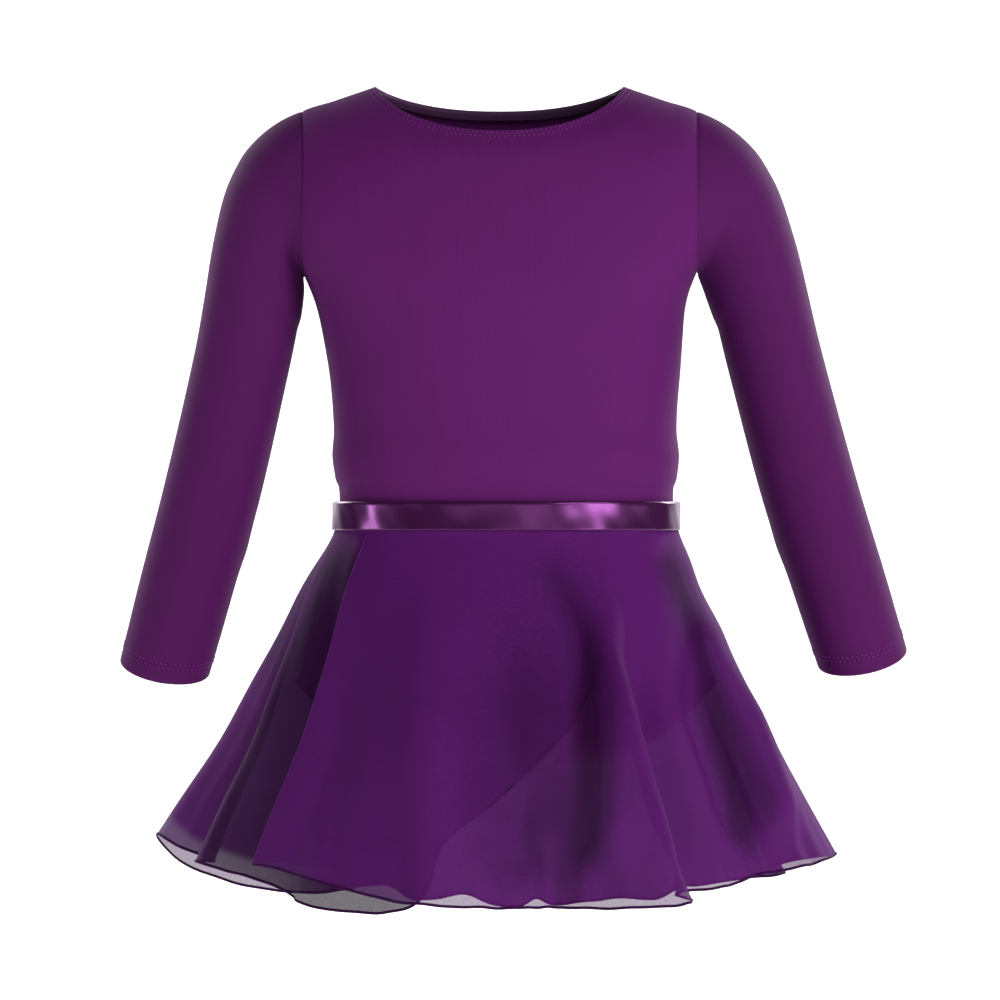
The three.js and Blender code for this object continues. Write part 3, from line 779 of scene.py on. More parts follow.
def knit_finish(name, colour, wale=0.85 * MM):
    """Matt jersey: fine wales along the cloth, a loose heather and a soft sheen at the edges."""
    f = Finish(name)
    cloth = f.node("ShaderNodeUVMap", {"uv_map": "cloth"})
    parts = f.make("ShaderNodeSeparateXYZ", None, {0: cloth})
    u, v = Value(f, parts.outputs[0]), Value(f, parts.outputs[1])
    wander = f.node("ShaderNodeTexNoise", None, {"Vector": cloth, "Scale": 60.0, "Detail": 2.0})
    ribs = ((u + (wander - 0.5) * 0.0006) * (2 * math.pi / wale)).sine()
    courses = (v * (2 * math.pi / (wale * 0.8)) + ribs * 1.2).sine()
    streak_at = f.node("ShaderNodeMapping", None, {"Vector": cloth, "Scale": (420.0, 26.0, 1.0)})
    streaks = f.node("ShaderNodeTexNoise", None, {"Vector": streak_at, "Scale": 1.0, "Detail": 3.0})
    heather = f.node("ShaderNodeTexNoise", None, {"Vector": cloth, "Scale": 900.0, "Detail": 2.0})
    mottle = f.node("ShaderNodeTexNoise", None, {"Vector": cloth, "Scale": 34.0, "Detail": 3.0})
    tone = ribs * 0.05 + courses * 0.03 + (streaks - 0.5) * 0.42
    tone = tone + (heather - 0.5) * 0.26 + (mottle - 0.5) * 0.2 + 0.5
    base = f.node(
        "ShaderNodeMix",
        {"data_type": "RGBA"},
        {"Factor": tone.limited(0, 1), 6: shade_of(colour, 0.80), 7: shade_of(colour, 1.22)},
        2,
    )
    height = ribs * 0.5 + courses * 0.35 + (streaks - 0.5) * 1.2 + (heather - 0.5) * 1.0
    bump = f.node("ShaderNodeBump", None, {"Strength": 0.5, "Distance": 0.00012, "Height": height})
    shader = f.node(
        "ShaderNodeBsdfPrincipled",
        None,
        {
            "Base Color": base,
            "Roughness": 0.74 + (streaks - 0.5) * 0.16,
            "Specular IOR Level": 0.12,
            "Sheen Weight": 0.07,
            "Sheen Roughness": 0.4,
            "Sheen Tint": (0.62, 0.34, 0.72, 1),
            "Normal": bump,
        },
    )
    return f.surface(shader)


def chiffon_finish(name, colour, alpha):
    """Sheer crepe chiffon: an open plain weave that lets some light through."""
    f = Finish(name)
    cloth = f.node("ShaderNodeUVMap", {"uv_map": "cloth"})
    parts = f.make("ShaderNodeSeparateXYZ", None, {0: cloth})
    u, v = Value(f, parts.outputs[0]), Value(f, parts.outputs[1])
    warp = (u * (2 * math.pi / 0.0007)).sine()
    weft = (v * (2 * math.pi / 0.0007)).sine()
    crepe = f.node("ShaderNodeTexNoise", None, {"Vector": cloth, "Scale": 700.0, "Detail": 3.0})
    clouds = f.node("ShaderNodeTexNoise", None, {"Vector": cloth, "Scale": 22.0, "Detail": 2.0})
    tone = warp * 0.06 + weft * 0.06 + (crepe - 0.5) * 0.5 + (clouds - 0.5) * 0.25 + 0.5
    base = f.node(
        "ShaderNodeMix",
        {"data_type": "RGBA"},
        {"Factor": tone.limited(0, 1), 6: shade_of(colour, 0.84), 7: shade_of(colour, 1.18)},
        2,
    )
    double = f.node("ShaderNodeAttribute", {"attribute_name": "double"}, None, 2)
    shade = f.node("ShaderNodeAttribute", {"attribute_name": "shade"}, None, 2)
    # Painted shade: the cloth's shade attribute darkens its colour towards a fifth of it.
    mixed = {"Factor": shade, 6: base, 7: shade_of(colour, 0.2)}
    base = f.node("ShaderNodeMix", {"data_type": "RGBA"}, mixed, 2)
    cover = alpha + double * (0.985 - alpha) + warp * weft * 0.02 + (crepe - 0.5) * 0.05
    weave = {"Strength": 0.4, "Distance": 0.0001, "Height": warp + weft + crepe * 2}
    bump = f.node("ShaderNodeBump", None, weave)
    shader = f.node(
        "ShaderNodeBsdfPrincipled",
        None,
        {
            "Base Color": base,
            "Roughness": 0.62 + (crepe - 0.5) * 0.15,
            "Specular IOR Level": 0.04,
            "Sheen Weight": 0.01,
            "Sheen Roughness": 0.35,
            "Sheen Tint": (0.66, 0.48, 0.85, 1),
            "Alpha": cover.limited(0, 1),
            "Normal": bump,
        },
    )
    return f.surface(shader)


def satin_finish(name, colour):
    """Glossy ribbon satin with fine threads across its width."""
    f = Finish(name)
    cloth = f.node("ShaderNodeUVMap", {"uv_map": "cloth"})
    streak_at = f.node("ShaderNodeMapping", None, {"Vector": cloth, "Scale": (2400.0, 60.0, 1.0)})
    threads = f.node("ShaderNodeTexNoise", None, {"Vector": streak_at, "Scale": 1.0, "Detail": 2.0})
    soft = f.node("ShaderNodeTexNoise", None, {"Vector": cloth, "Scale": 90.0, "Detail": 2.0})
    tone = (threads - 0.5) * 0.6 + (soft - 0.5) * 0.3 + 0.5
    base = f.node(
        "ShaderNodeMix",
        {"data_type": "RGBA"},
        {"Factor": tone.limited(0, 1), 6: shade_of(colour, 0.85), 7: shade_of(colour, 1.15)},
        2,
    )
    bump = f.node("ShaderNodeBump", None, {"Strength": 0.35, "Distance": 0.00008, "Height": threads + soft})
    shader = f.node(
        "ShaderNodeBsdfPrincipled",
        None,
        {
            "Base Color": base,
            "Roughness": 0.24 + (threads - 0.5) * 0.12,
            "Specular IOR Level": 1.0,
            "Specular Tint": (0.9, 0.26, 1.0, 1),
            "Sheen Weight": 0.03,
            "Sheen Tint": (0.8, 0.6, 0.9, 1),
            "Normal": bump,
        },
    )
    return f.surface(shader)


def thread_finish(name, colour):
    """Twisted sewing thread, patterned by place because the strips carry no cloth map."""
    f = Finish(name)
    place = f.node("ShaderNodeTexCoord", None, None, 3)
    twist = f.node("ShaderNodeTexWave", {"bands_direction": "DIAGONAL"}, {"Vector": place, "Scale": 900.0})
    fuzz = f.node("ShaderNodeTexNoise", None, {"Vector": place, "Scale": 1500.0, "Detail": 2.0})
    tone = (twist - 0.5) * 0.6 + (fuzz - 0.5) * 0.4 + 0.5
    base = f.node(
        "ShaderNodeMix",
        {"data_type": "RGBA"},
        {"Factor": tone.limited(0, 1), 6: shade_of(colour, 0.7), 7: shade_of(colour, 1.3)},
        2,
    )
    bump = f.node("ShaderNodeBump", None, {"Strength": 0.5, "Distance": 0.0001, "Height": twist + fuzz})
    shader = f.node(
        "ShaderNodeBsdfPrincipled",
        None,
        {
            "Base Color": base,
            "Roughness": 0.6 + (fuzz - 0.5) * 0.2,
            "Specular IOR Level": 0.15,
            "Normal": bump,
        },
    )
    return f.surface(shader)


FINISHES = {}


def finish(name):
    """The material of that name, made on first use."""
    if name not in FINISHES:
        colours = bpy.context.scene.leotard_colours
        knit, chiffon, satin = colours.knit, colours.chiffon, colours.satin
        makers = {
            "knit": lambda: knit_finish("purple_jersey", knit),
            "cotton": lambda: knit_finish("cotton_lining", [c * 1.25 for c in knit], 1.3 * MM),
            "chiffon": lambda: chiffon_finish("sheer_chiffon", chiffon, 0.8),
            "chiffon_hem": lambda: chiffon_finish("rolled_chiffon", [c * 0.35 for c in chiffon], 0.97),
            "satin": lambda: satin_finish("ribbon_satin", satin),
            # The sleeves' jersey is the same knit darkened to 0.78: painted shade, for sleeves that catch
            # less light.
            "shaded_sleeve_knit": lambda: knit_finish("sleeve_jersey_painted_shade", [c * 0.78 for c in knit]),
            "thread": lambda: thread_finish("seam_thread", [c * 2.1 for c in knit]),
            # Needle strips: the knit darkened to 0.16, as painted shadow of the needle grooves.
            "needle": lambda: thread_finish("painted_needle_shadow", [c * 0.16 for c in knit]),
            "looper": lambda: thread_finish("looper_thread", (0.075, 0.028, 0.082)),
            "selvedge": lambda: thread_finish("chiffon_selvedge", [c * 0.8 for c in chiffon]),
            "satin_thread": lambda: thread_finish("ribbon_thread", [c * 1.6 for c in satin]),
            "overlock": lambda: thread_finish("overlock_thread", [c * 1.1 for c in knit]),
            "elastic": lambda: thread_finish("white_elastic", (0.62, 0.56, 0.6)),
        }
        FINISHES[name] = makers[name]()
    return FINISHES[name]


# ---------------------------------------------------------------- the knit pieces
def panel_grid(front):
    """The front or back of the body as worn, and its outward normals."""
    turn = np.linspace(0, math.pi, 70)
    armhole = (ARMHOLE_TOP + ARMHOLE_BOTTOM) / 2 - (ARMHOLE_BOTTOM - ARMHOLE_TOP) / 2 * np.cos(turn)
    rings = np.concatenate(
        [
            np.linspace(0, ARMHOLE_TOP, 24)[:-1],
            armhole,
            np.linspace(ARMHOLE_BOTTOM, HIP, 100)[1:],
            np.linspace(HIP, LEG_EDGE, 34)[1:],
        ]
    )
    inside = (rings > ARMHOLE_TOP) & (rings < ARMHOLE_BOTTOM)
    limit = np.where(inside, armhole_across(rings), 1.0)
    edge = np.array([0, 0.004, 0.009, 0.015, 0.023, 0.033, 0.046, 0.062])
    across = np.concatenate([edge, np.linspace(0.08, 1.92, 83), 2 - edge[::-1]]) - 1
    grid = worn_surface(front)(across[:, None] * limit, np.broadcast_to(rings, (len(across), len(rings))))
    normals = grid_normals(grid, False, -1 if front else 1)
    z = grid[..., 2]
    height = BLOUSE * smooth((-205 - z) / 18) * smooth((z + 241.5) / 7)
    if front:
        height = height + fold_height(grid, BODICE_CREASES)
    lengths = arc_lengths(grid, 0)
    near = np.minimum(lengths, lengths[-1:] - lengths)
    height = height - 0.7 * np.exp(-((near / 1.3) ** 2))
    return grid + normals * height[..., None], normals


def crotch_fade(grid):
    """1 along the leg openings and small across the crotch, for each column of a panel."""
    return 0.35 + 0.65 * smooth((np.abs(grid[:, -1, 0]) - CROTCH_HALF_WIDTH + 4) / 10)


def knit_panel(front):
    sizes = bpy.context.scene.leotard_sizes
    grid, normals = panel_grid(front)
    radius = sizes.hem_fold / MM / 2
    rolled = turned_edge(grid, normals, radius, 4, True)
    lower = turned_edge(grid, normals, radius * crotch_fade(grid), 6, False)
    rolled = np.concatenate([rolled, lower[:, grid.shape[1] :]], axis=1)
    piece = cloth_grid("front_body" if front else "back_body", rolled, flip=front)
    thicken(piece, sizes.knit_wall)
    return set_finish(piece, "knit")


def body_stitches():
    """Twin-needle rows round the neck and the leg openings, with thin strips of painted shadow under them.
    """
    rows = []
    for front in (True, False):
        grid, normals = panel_grid(front)
        rows += [line_at(grid, normals, distance) for distance in (1.0, 3.9)]
        edge_x = grid[:, -1, 0]
        for side in (1, -1):
            leg = side * edge_x > CROTCH_HALF_WIDTH - 6
            rows += [line_at(grid[leg], normals[leg], distance, True) for distance in (3.0, 6.0)]
    return stitches("body_stitches", rows), needle_shadow_strips("body_needle_shadows", rows)


def body_loop(downs, inset, side=0):
    """A band inside the body's edge in one loop: round the neck, or round the leg opening of one side."""
    start = 0.9 * CROTCH_ACROSS if side else -1
    across = np.linspace(start, 1, 60)
    if side:
        across = across * side
    grids = []
    for front, order in ((True, across), (False, across[::-1])):
        down = np.broadcast_to(downs, (len(order), len(downs)))
        part = worn_surface(front)(np.broadcast_to(order[:, None], down.shape), down)
        normals = grid_normals(part, False, 1)
        facing = np.sign(np.sum(normals * (part - part.mean(axis=(0, 1)) * (1, 0, 1))))
        grids.append(part - normals * facing * inset)
    return np.concatenate([grids[0][:-1], grids[1][:-1]])


def inner_band(name, downs, inset, side=0, material="elastic", wall=0.4 * MM, lift=0.0):
    loop = body_loop(downs, inset, side)
    loop[:, 0, 2] += lift
    piece = cloth_grid(name, loop, closed=True)
    thicken(piece, wall, 0)
    return set_finish(piece, material)


def seam_strip(name, path, inward, depth=4.2):
    """An overlocked allowance: a strip along a seam, standing in from it, with a waved edge."""
    lengths = arc_lengths(path[None], 1)[0]
    wave = 0.25 * np.sin(lengths * 2 * math.pi / 2.4)
    reach = np.linspace(0, 1, 5)
    side = unit(np.cross(np.gradient(path, axis=0), inward))
    grid = path[:, None] + inward[:, None] * (0.8 + reach[None, :, None] * (depth + wave[:, None, None]))
    grid = grid + side[:, None] * (0.35 * wave[:, None, None] * reach[None, :, None] * 4)
    piece = cloth_grid(name, grid)
    thicken(piece, 1.0 * MM, 0)
    return set_finish(piece, "overlock")


def sleeve_grid(side):
    rings = np.concatenate([np.linspace(0, 1.6, 28)[:-1], np.linspace(1.6, CUFF, 132)])
    angle = np.linspace(0, 2 * math.pi, 113)[:-1] + math.pi
    shape = (len(angle), len(rings))
    at = np.broadcast_to(angle[:, None], shape), np.broadcast_to(rings, shape)
    grid = sleeve_surface(side)(*at)
    normals = grid_normals(grid, True, 1)
    centre = grid.mean(axis=0, keepdims=True)
    outward = float(np.sign(np.sum(normals * (grid - centre))))
    normals = normals * outward
    seam = np.abs(np.angle(np.exp(1j * (at[0] - math.pi)))) * 28
    lengths = arc_lengths(grid, 1)
    height = -0.7 * np.exp(-((lengths / 1.4) ** 2)) - 0.6 * np.exp(-((seam / 1.3) ** 2))
    bulge = 3.4 if side < 0 else 1.8
    height = height + bulge * np.maximum(np.cos(at[0]), 0) * np.exp(-(((at[1] - 3.0) / 1.7) ** 2))
    for angle0, ring0, spread, size, rise in SLEEVE_WRINKLES:
        turn = np.angle(np.exp(1j * (at[0] - math.radians(angle0) - 0.35 * (at[1] - ring0))))
        height = height + rise * np.exp(-((turn / spread) ** 2) - ((at[1] - ring0) / size) ** 2)
    return grid + normals * height[..., None], normals, outward


# ---------------------------------------------------------------- the skirt and its ribbon
def skirt_grid():
    around = np.linspace(0, len(SKIRT_EDGE) - 1, 840)
    down = np.concatenate([[-1, -0.5], np.linspace(0, 1, 96)])
    shape = (len(around), len(down))
    at = np.broadcast_to(around[:, None], shape), np.broadcast_to(down, shape)
    grid = skirt_surface(*at)
    normals = grid_normals(grid, False, -1)
    z = grid[..., 2]
    facing = grid[..., 1] < 0
    height = fold_height(grid, SKIRT_FOLDS) * facing * smooth((-285 - z) / 50)
    height = height * smooth((1.04 - at[1]) / 0.2) * (1 + 1.4 * smooth((-310 - z) / 80))
    lap_x, lap_z = np.array(LAPPED_FOLD, float).T
    away = grid[..., 0] - np.interp(-z, -lap_z, lap_x)
    strength = smooth((-312 - z) / 70) * smooth((1.02 - at[1]) / 0.25) * facing
    height = height + strength * 9 * (np.exp(-(((away + 8) / 9) ** 2)) - np.exp(-(((away - 8) / 9) ** 2)))
    lap = strength * 6.5 * (np.exp(-(((away + 6) / 8) ** 2)) - np.exp(-(((away - 6) / 8) ** 2)))
    ripple = np.sin(at[0] * 5.1) + 0.6 * np.sin(at[0] * 8.3 + 1.3)
    height = height + 0.7 * ripple * smooth((at[1] - 0.55) / 0.45)
    outer = 1.6 * smooth((12 - at[0]) / 6) - 2.4 * smooth((at[0] - 44) / 5)
    height = height + outer * smooth(at[1] / 0.35) * facing
    sideways = grid[..., 0] / np.hypot(grid[..., 0], grid[..., 1])
    left = 3.2 * np.exp(-(((z + 298) / 24) ** 2)) - 3.0 * np.exp(-(((z + 392) / 30) ** 2))
    right = -4.6 * np.exp(-(((z + 362) / 42) ** 2)) + 1.2 * np.exp(-(((z + 284) / 12) ** 2))
    shift = np.where(sideways < 0, -left, right) * sideways**2
    drop = -4.5 * np.exp(-(((grid[..., 0] + 92) / 38) ** 4))
    drop = drop * (grid[..., 1] < 0) * smooth((at[1] - 0.6) / 0.4)
    x = grid[..., 0]
    raised = 0.9 * np.exp(-(((x + 25) / 15) ** 2)) + 0.7 * np.exp(-(((x - 19) / 7) ** 2))
    behind = smooth((x + 75) / 20) * smooth((112 - x) / 20) * (grid[..., 1] > 0)
    drop = drop - 8 * (1 - raised) * behind * smooth((at[1] - 0.6) / 0.4)
    return grid + normals * height[..., None] + points(shift + lap, 0, drop), normals


def shade_of_folds(grid, around):
    """How strongly painted shade darkens the cloth's colour along its folds and on the inner layer, from 0
    to 1.
    """
    shade = fold_height(grid, SKIRT_SHADES) * (grid[..., 1] < 0)
    line_x, line_z = np.array(INNER_SHADE, float).T
    inner = smooth((grid[..., 0] - np.interp(-grid[..., 2], -line_z, line_x)) / 10)
    under = (rows_at(SKIRT_EDGE, around)[0] > 215)[:, None] & (grid[..., 0] < 20)
    inner = inner * under * smooth((25 - grid[..., 1]) / 35) * smooth((-262 - grid[..., 2]) / 30)
    return np.clip(shade + 0.85 * inner, 0, 1)


def cover_of(around, down):
    """How double the chiffon lies: single in front, and doubled behind and at the turned corner."""
    degrees = rows_at(SKIRT_EDGE, around)[0]
    double = np.interp(degrees, (70, 95, 258, 270, 286, 304, 326, 350), (0, 1, 1, 0, 0, 0.6, 0.6, 0))
    side = np.interp(degrees, (222, 232, 262, 270), (0, 1, 1, 0))
    return double[:, None] * (1 - side[:, None] * smooth((down[None] - 0.915) / 0.03))


def ribbon_grid():
    """The satin waistband: the ribbon folded lengthwise over the chiffon's top edge."""
    low, high = WAIST_Z - RIBBON_HEIGHT / 2, WAIST_Z + RIBBON_HEIGHT / 2
    inner, outer, radius = 0.9, RIBBON_OUT - 0.2, (RIBBON_OUT - 1.1) / 2
    turn = np.linspace(math.pi, 0, 9)
    fold = (inner + outer) / 2 + radius * np.cos(turn)
    out = np.concatenate([np.full(8, inner), fold, np.full(14, outer)])
    z = np.concatenate(
        [
            np.linspace(low + 0.5, high - radius - 1, 8),
            high - radius + radius * np.sin(turn),
            np.linspace(high - radius - 1, low, 14),
        ]
    )
    degrees = np.linspace(0, 360, 361)[:-1]
    place = np.radians(degrees)[:, None]
    level = ((z - WAIST_Z) / RIBBON_HEIGHT)[None]
    wave = 0.30 * np.sin(7 * place + 2.2 * level + 0.6) + 0.22 * np.sin(13 * place - 3.0 * level)
    wave = wave + 0.10 * np.sin(29 * place + 4.0 * level) - 0.25 * (1 - (2 * level) ** 2)
    outside = np.concatenate([np.zeros(8), np.linspace(0, 1, 9) ** 2, np.ones(14)])
    return waist_point(degrees[:, None], out[None] + wave * outside, np.broadcast_to(z, (360, len(z))))


def ribbon_along(path, width_way, widths, cup, count=13):
    """A ribbon along a path: its width runs along `width_way`, and `cup` bends it across."""
    v = np.linspace(-1, 1, count)
    face = unit(np.cross(np.gradient(path, axis=0), width_way))
    spread = width_way[:, None] * (widths[:, None, None] / 2) * v[None, :, None]
    return path[:, None] + spread + face[:, None] * cup(v)[..., None], face


def bow_loop(name, side):
    t = np.linspace(0, 1, 90)
    reach = np.sin(math.pi * t) ** 0.75
    open_y = 6.6 * np.sin(2 * math.pi * t) * (0.35 + 0.65 * reach)
    path = points(
        side * (5.5 + 50 * reach) + LEAN_WAIST,
        KNOT_Y + 2.5 + open_y,
        WAIST_Z + 1.5 * reach - 5.5 * reach**3,
    )
    near = smooth(np.minimum(t, 1 - t) / 0.28)
    tilt = 0.16 * np.sin(2 * math.pi * t)
    way = unit(points(side * 0.12 * near, tilt, np.ones_like(t)))
    pleat = (1 - near)[:, None]
    turned = near[:, None] * 0.9 * np.sign(0.5 - t)[:, None]
    cup = lambda v: pleat * 1.1 * np.cos(3 * math.pi * v)[None] + turned * (v**2)[None]
    grid, _ = ribbon_along(path, way, 8 + 9 * near, cup)
    piece = cloth_grid(name, grid)
    thicken(piece, 0.4 * MM, 0)
    return set_finish(piece, "satin")


def bow_tail(name, side):
    """A tail of the bow: pinched at the knot, softly waved, and cut to a fishtail."""
    u, v = np.linspace(0, 1, 120), np.linspace(-1, 1, 15)
    lean, splay = math.radians(22), math.radians(8)
    fall = np.array([0, math.sin(lean), -math.cos(lean)]) * math.cos(splay)
    down = fall + np.array([side * math.sin(splay), 0, 0])
    way = unit(np.array([math.cos(splay), 0, side * math.sin(splay)]))
    face = np.cross(down, way)
    length = 150 - 8 * (1 - np.abs(v))
    s = u[:, None] * length[None]
    half = mix(4.5, 8.2, smooth(s / 20))
    wave = 2.1 * np.sin(s / 15 + 0.8 * side) * smooth(s / 30) + 0.3 * np.sin(s / 7.5) * smooth(s / 60)
    twist = 0.13 * np.sin(s / 26 + side) * smooth(s / 25)
    pleat = 0.7 * np.cos(3 * math.pi * v)[None] * (1 - smooth(s / 22))
    offset = wave + pleat + 0.6 * twist * half * v[None]
    start = np.array([side * 6 + LEAN_WAIST, KNOT_Y, WAIST_Z - 8.5])
    grid = start + s[..., None] * down + (half * v[None])[..., None] * way + offset[..., None] * face
    piece = cloth_grid(name, grid)
    thicken(piece, 0.4 * MM, 0)
    return set_finish(piece, "satin")


def bow_knot():
    """The knot: the ribbon pulled round both loops, with soft pleats."""
    turn, v = np.linspace(0, 2 * math.pi, 97)[:-1], np.linspace(-1, 1, 33)
    t, w = turn[:, None], v[None]
    size = (1 - 0.10 * w**2) * (1 - 0.55 * np.abs(w) ** 9) * (1 - 0.05 * np.cos(2 * t))
    pleat = 0.42 * np.cos(4.4 * math.pi * w + 0.9 * np.sin(t)) + 0.25 * np.sin(7 * w + 2 * t)
    out_y = (4.9 * size + pleat) * signed_power(np.cos(t), 0.8)
    out_z = (9.0 * size + pleat) * signed_power(np.sin(t), 0.8)
    lean = 0.8 * w * np.sin(t)
    across = 7.6 * w * (1 - 0.06 * np.cos(2 * t)) + LEAN_WAIST
    grid = points(across, KNOT_Y + out_y, WAIST_Z + out_z + lean)
    piece = cloth_grid("tied_knot", grid, closed=True)
    thicken(piece, 0.4 * MM)
    return set_finish(piece, "satin")


def worn(piece, body, slot, *nodes, flat=None, held="stretched", on=(), area=None):
    """Fixes a piece to its body and hides the nodes it replaces; its slot and sheet settings are not used.
    """
    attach(piece, body)
    if nodes:
        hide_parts(*nodes)
    return piece


class LEOTARD_OT_body(bpy.types.Operator):
    """Sews the front and back of the leotard"""

    bl_idname = "leotard.body"
    bl_label = "Body"

    def execute(self, context):
        back = worn(knit_panel(False), "leotard", "knit", "back_bodice", "back_brief")
        front = worn(
            knit_panel(True),
            "leotard",
            "knit",
            "front_bodice",
            "front_brief",
            "neck_hem",
            "left_leg_hem",
            "right_leg_hem",
        )
        sewing = [worn(each, "leotard", "thread") for each in body_stitches()]
        return {"FINISHED"}


class LEOTARD_OT_linings(bpy.types.Operator):
    """Sews the gusset, the elastics and the overlocked seams inside the leotard"""

    bl_idname = "leotard.linings"
    bl_label = "Linings and seams"

    def execute(self, context):
        worn(inner_band("neck_band_elastic", (0.06, 0.16, 0.26), 1.1), "leotard", "elastic", "neck_elastic")
        looper = inner_band("neck_looper_threads", np.linspace(0, 0.19, 7), 2.8, 0, "looper", 0.4 * MM, 1.4)
        worn(looper, "leotard", "thread")
        for name, side in (("left", 1), ("right", -1)):
            downs = (LEG_EDGE - 0.16, LEG_EDGE - 0.1, LEG_EDGE - 0.03)
            band = inner_band(f"{name}_leg_band_elastic", downs, 1.1, side)
            worn(band, "leotard", "elastic", f"{name}_leg_elastic")
            seams = (("shoulder", 0.45, ARMHOLE_TOP - 0.22), ("side", ARMHOLE_BOTTOM + 0.4, HIP + 0.5))
            for seam, low, high in seams:
                down = np.linspace(low, high, 140 if seam == "side" else 30)
                path = worn_surface(True)(np.full(down.shape, float(side)), down)
                inward = points(-side, 0, 0) if seam == "side" else points(0, 0, -1)
                inward = np.broadcast_to(np.asarray(inward, float), path.shape)
                strip = seam_strip(f"{name}_{seam}_overlock", path, inward)
                worn(strip, "leotard", "thread", f"{name}_{seam}_seam")
            angle = np.linspace(0, 2 * math.pi, 181)
            edge = armhole_point(angle)
            centre = edge[:-1].mean(axis=0)
            inward = unit((centre - edge) * (0, 1, 1) + (-14.0, 0, 0)) * (side, 1, 1)
            path = edge * (side, 1, 1) + (LEAN_TOP - side * 1.2, 0, 0)
            strip = seam_strip(f"{name}_armhole_overlock", path, inward)
            worn(strip, "leotard", "thread", f"{name}_armhole_seam")
        along = np.linspace(-1, 1, 61)
        across = np.linspace(-0.2, 0.2, 25)
        down = LEG_EDGE - np.abs(along) * 0.62
        shape = (len(across), len(along))
        halves = [
            body_surface(front)(np.broadcast_to(across[:, None], shape), np.broadcast_to(down, shape))
            for front in (True, False)
        ]
        grid = leaned(np.where((along < 0)[None, :, None], halves[0], halves[1]))
        normals = grid_normals(grid, False, 1)
        normals = normals * np.sign(normals[12, 30, 2] or 1)
        piece = cloth_grid("gusset_lining", grid + normals * 1.9)
        thicken(piece, 0.5 * MM, 0)
        set_finish(piece, "cotton")
        worn(piece, "leotard", "cotton", "crotch_gusset", flat=(0.072, 0.142), area=0.0086)
        border = np.concatenate([grid[1:-1, 1], grid[-2, 1:-1], grid[1:-1, -2][::-1], grid[1, 1:-1][::-1]])
        near, far = normals[1:-1, -2][::-1], normals[1, 1:-1][::-1]
        over = np.concatenate([normals[1:-1, 1], normals[-2, 1:-1], near, far])
        worn(stitches("gusset_stitches", [(border + over * 2.2, over)]), "leotard", "thread")
        return {"FINISHED"}


class LEOTARD_OT_sleeves(bpy.types.Operator):
    """Sews both sleeves from the armhole to the cuff"""

    bl_idname = "leotard.sleeves"
    bl_label = "Sleeves"

    def execute(self, context):
        sizes = context.scene.leotard_sizes
        for name, side in (("left", 1), ("right", -1)):
            grid, normals, outward = sleeve_grid(side)
            rolled = turned_edge(grid, normals, sizes.hem_fold / MM / 2, 6, False)
            piece = cloth_grid(f"{name}_sleeve_cloth", rolled, closed=True, flip=outward < 0)
            thicken(piece, sizes.knit_wall)
            # The sleeves take the darker copy of the knit: painted shade.
            set_finish(piece, "shaded_sleeve_knit")
            rows = [line_at(grid, normals, distance, True) for distance in (8.2, 10.6)]
            rows = [(np.concatenate([a, a[:1]]), np.concatenate([b, b[:1]])) for a, b in rows]
            thread = stitches(f"{name}_cuff_stitches", rows)
            # Dark strips under the cuff stitches: painted shadow of the needle grooves.
            lines = needle_shadow_strips(f"{name}_cuff_needle_shadows", rows)
            seam = grid[0, 34:-8]
            strip = seam_strip(f"{name}_underarm_overlock", seam, -normals[0, 34:-8], 3.4)
            for each, slot in ((piece, "knit"), (thread, "thread"), (lines, "thread"), (strip, "thread")):
                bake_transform(each)
            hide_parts(f"{name}_sleeve", f"{name}_sleeve_head", f"{name}_cuff_hem")
            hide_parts(f"{name}_underarm_seam")
        return {"FINISHED"}


class LEOTARD_OT_skirt(bpy.types.Operator):
    """Cuts and wraps the chiffon skirt and rolls its hem"""

    bl_idname = "leotard.skirt"
    bl_label = "Chiffon skirt"

    def execute(self, context):
        roll = context.scene.leotard_sizes.hem_roll / MM / 2
        grid, normals = skirt_grid()
        piece = set_finish(cloth_grid("chiffon_skirt", grid, flip=True), "chiffon")
        double = piece.data.attributes.new("double", "FLOAT", "POINT")
        around = np.linspace(0, len(SKIRT_EDGE) - 1, grid.shape[0])
        cover = cover_of(around, np.concatenate([[-1, -0.5], np.linspace(0, 1, grid.shape[1] - 2)]))
        double.data.foreach_set("value", cover.ravel())
        # The painted shade of the folds, kept on the cloth for the chiffon's colour.
        shade = piece.data.attributes.new("shade", "FLOAT", "POINT")
        shade.data.foreach_set("value", shade_of_folds(grid, around).ravel())
        worn(piece, "wrap_skirt", "chiffon", "skirt_front_flap", "skirt_back", "skirt_under_flap")
        hem = tube("skirt_rolled_hem", grid[:, -1], roll * 0.6, roll, "chiffon_hem")
        worn(hem, "wrap_skirt", "chiffon")
        for name, edge in (("front", grid[0]), ("under", grid[-1])):
            worn(tube(f"{name}_flap_selvedge", edge[3:], 0.35, 0.35, "selvedge"), "wrap_skirt", "chiffon")
        return {"FINISHED"}


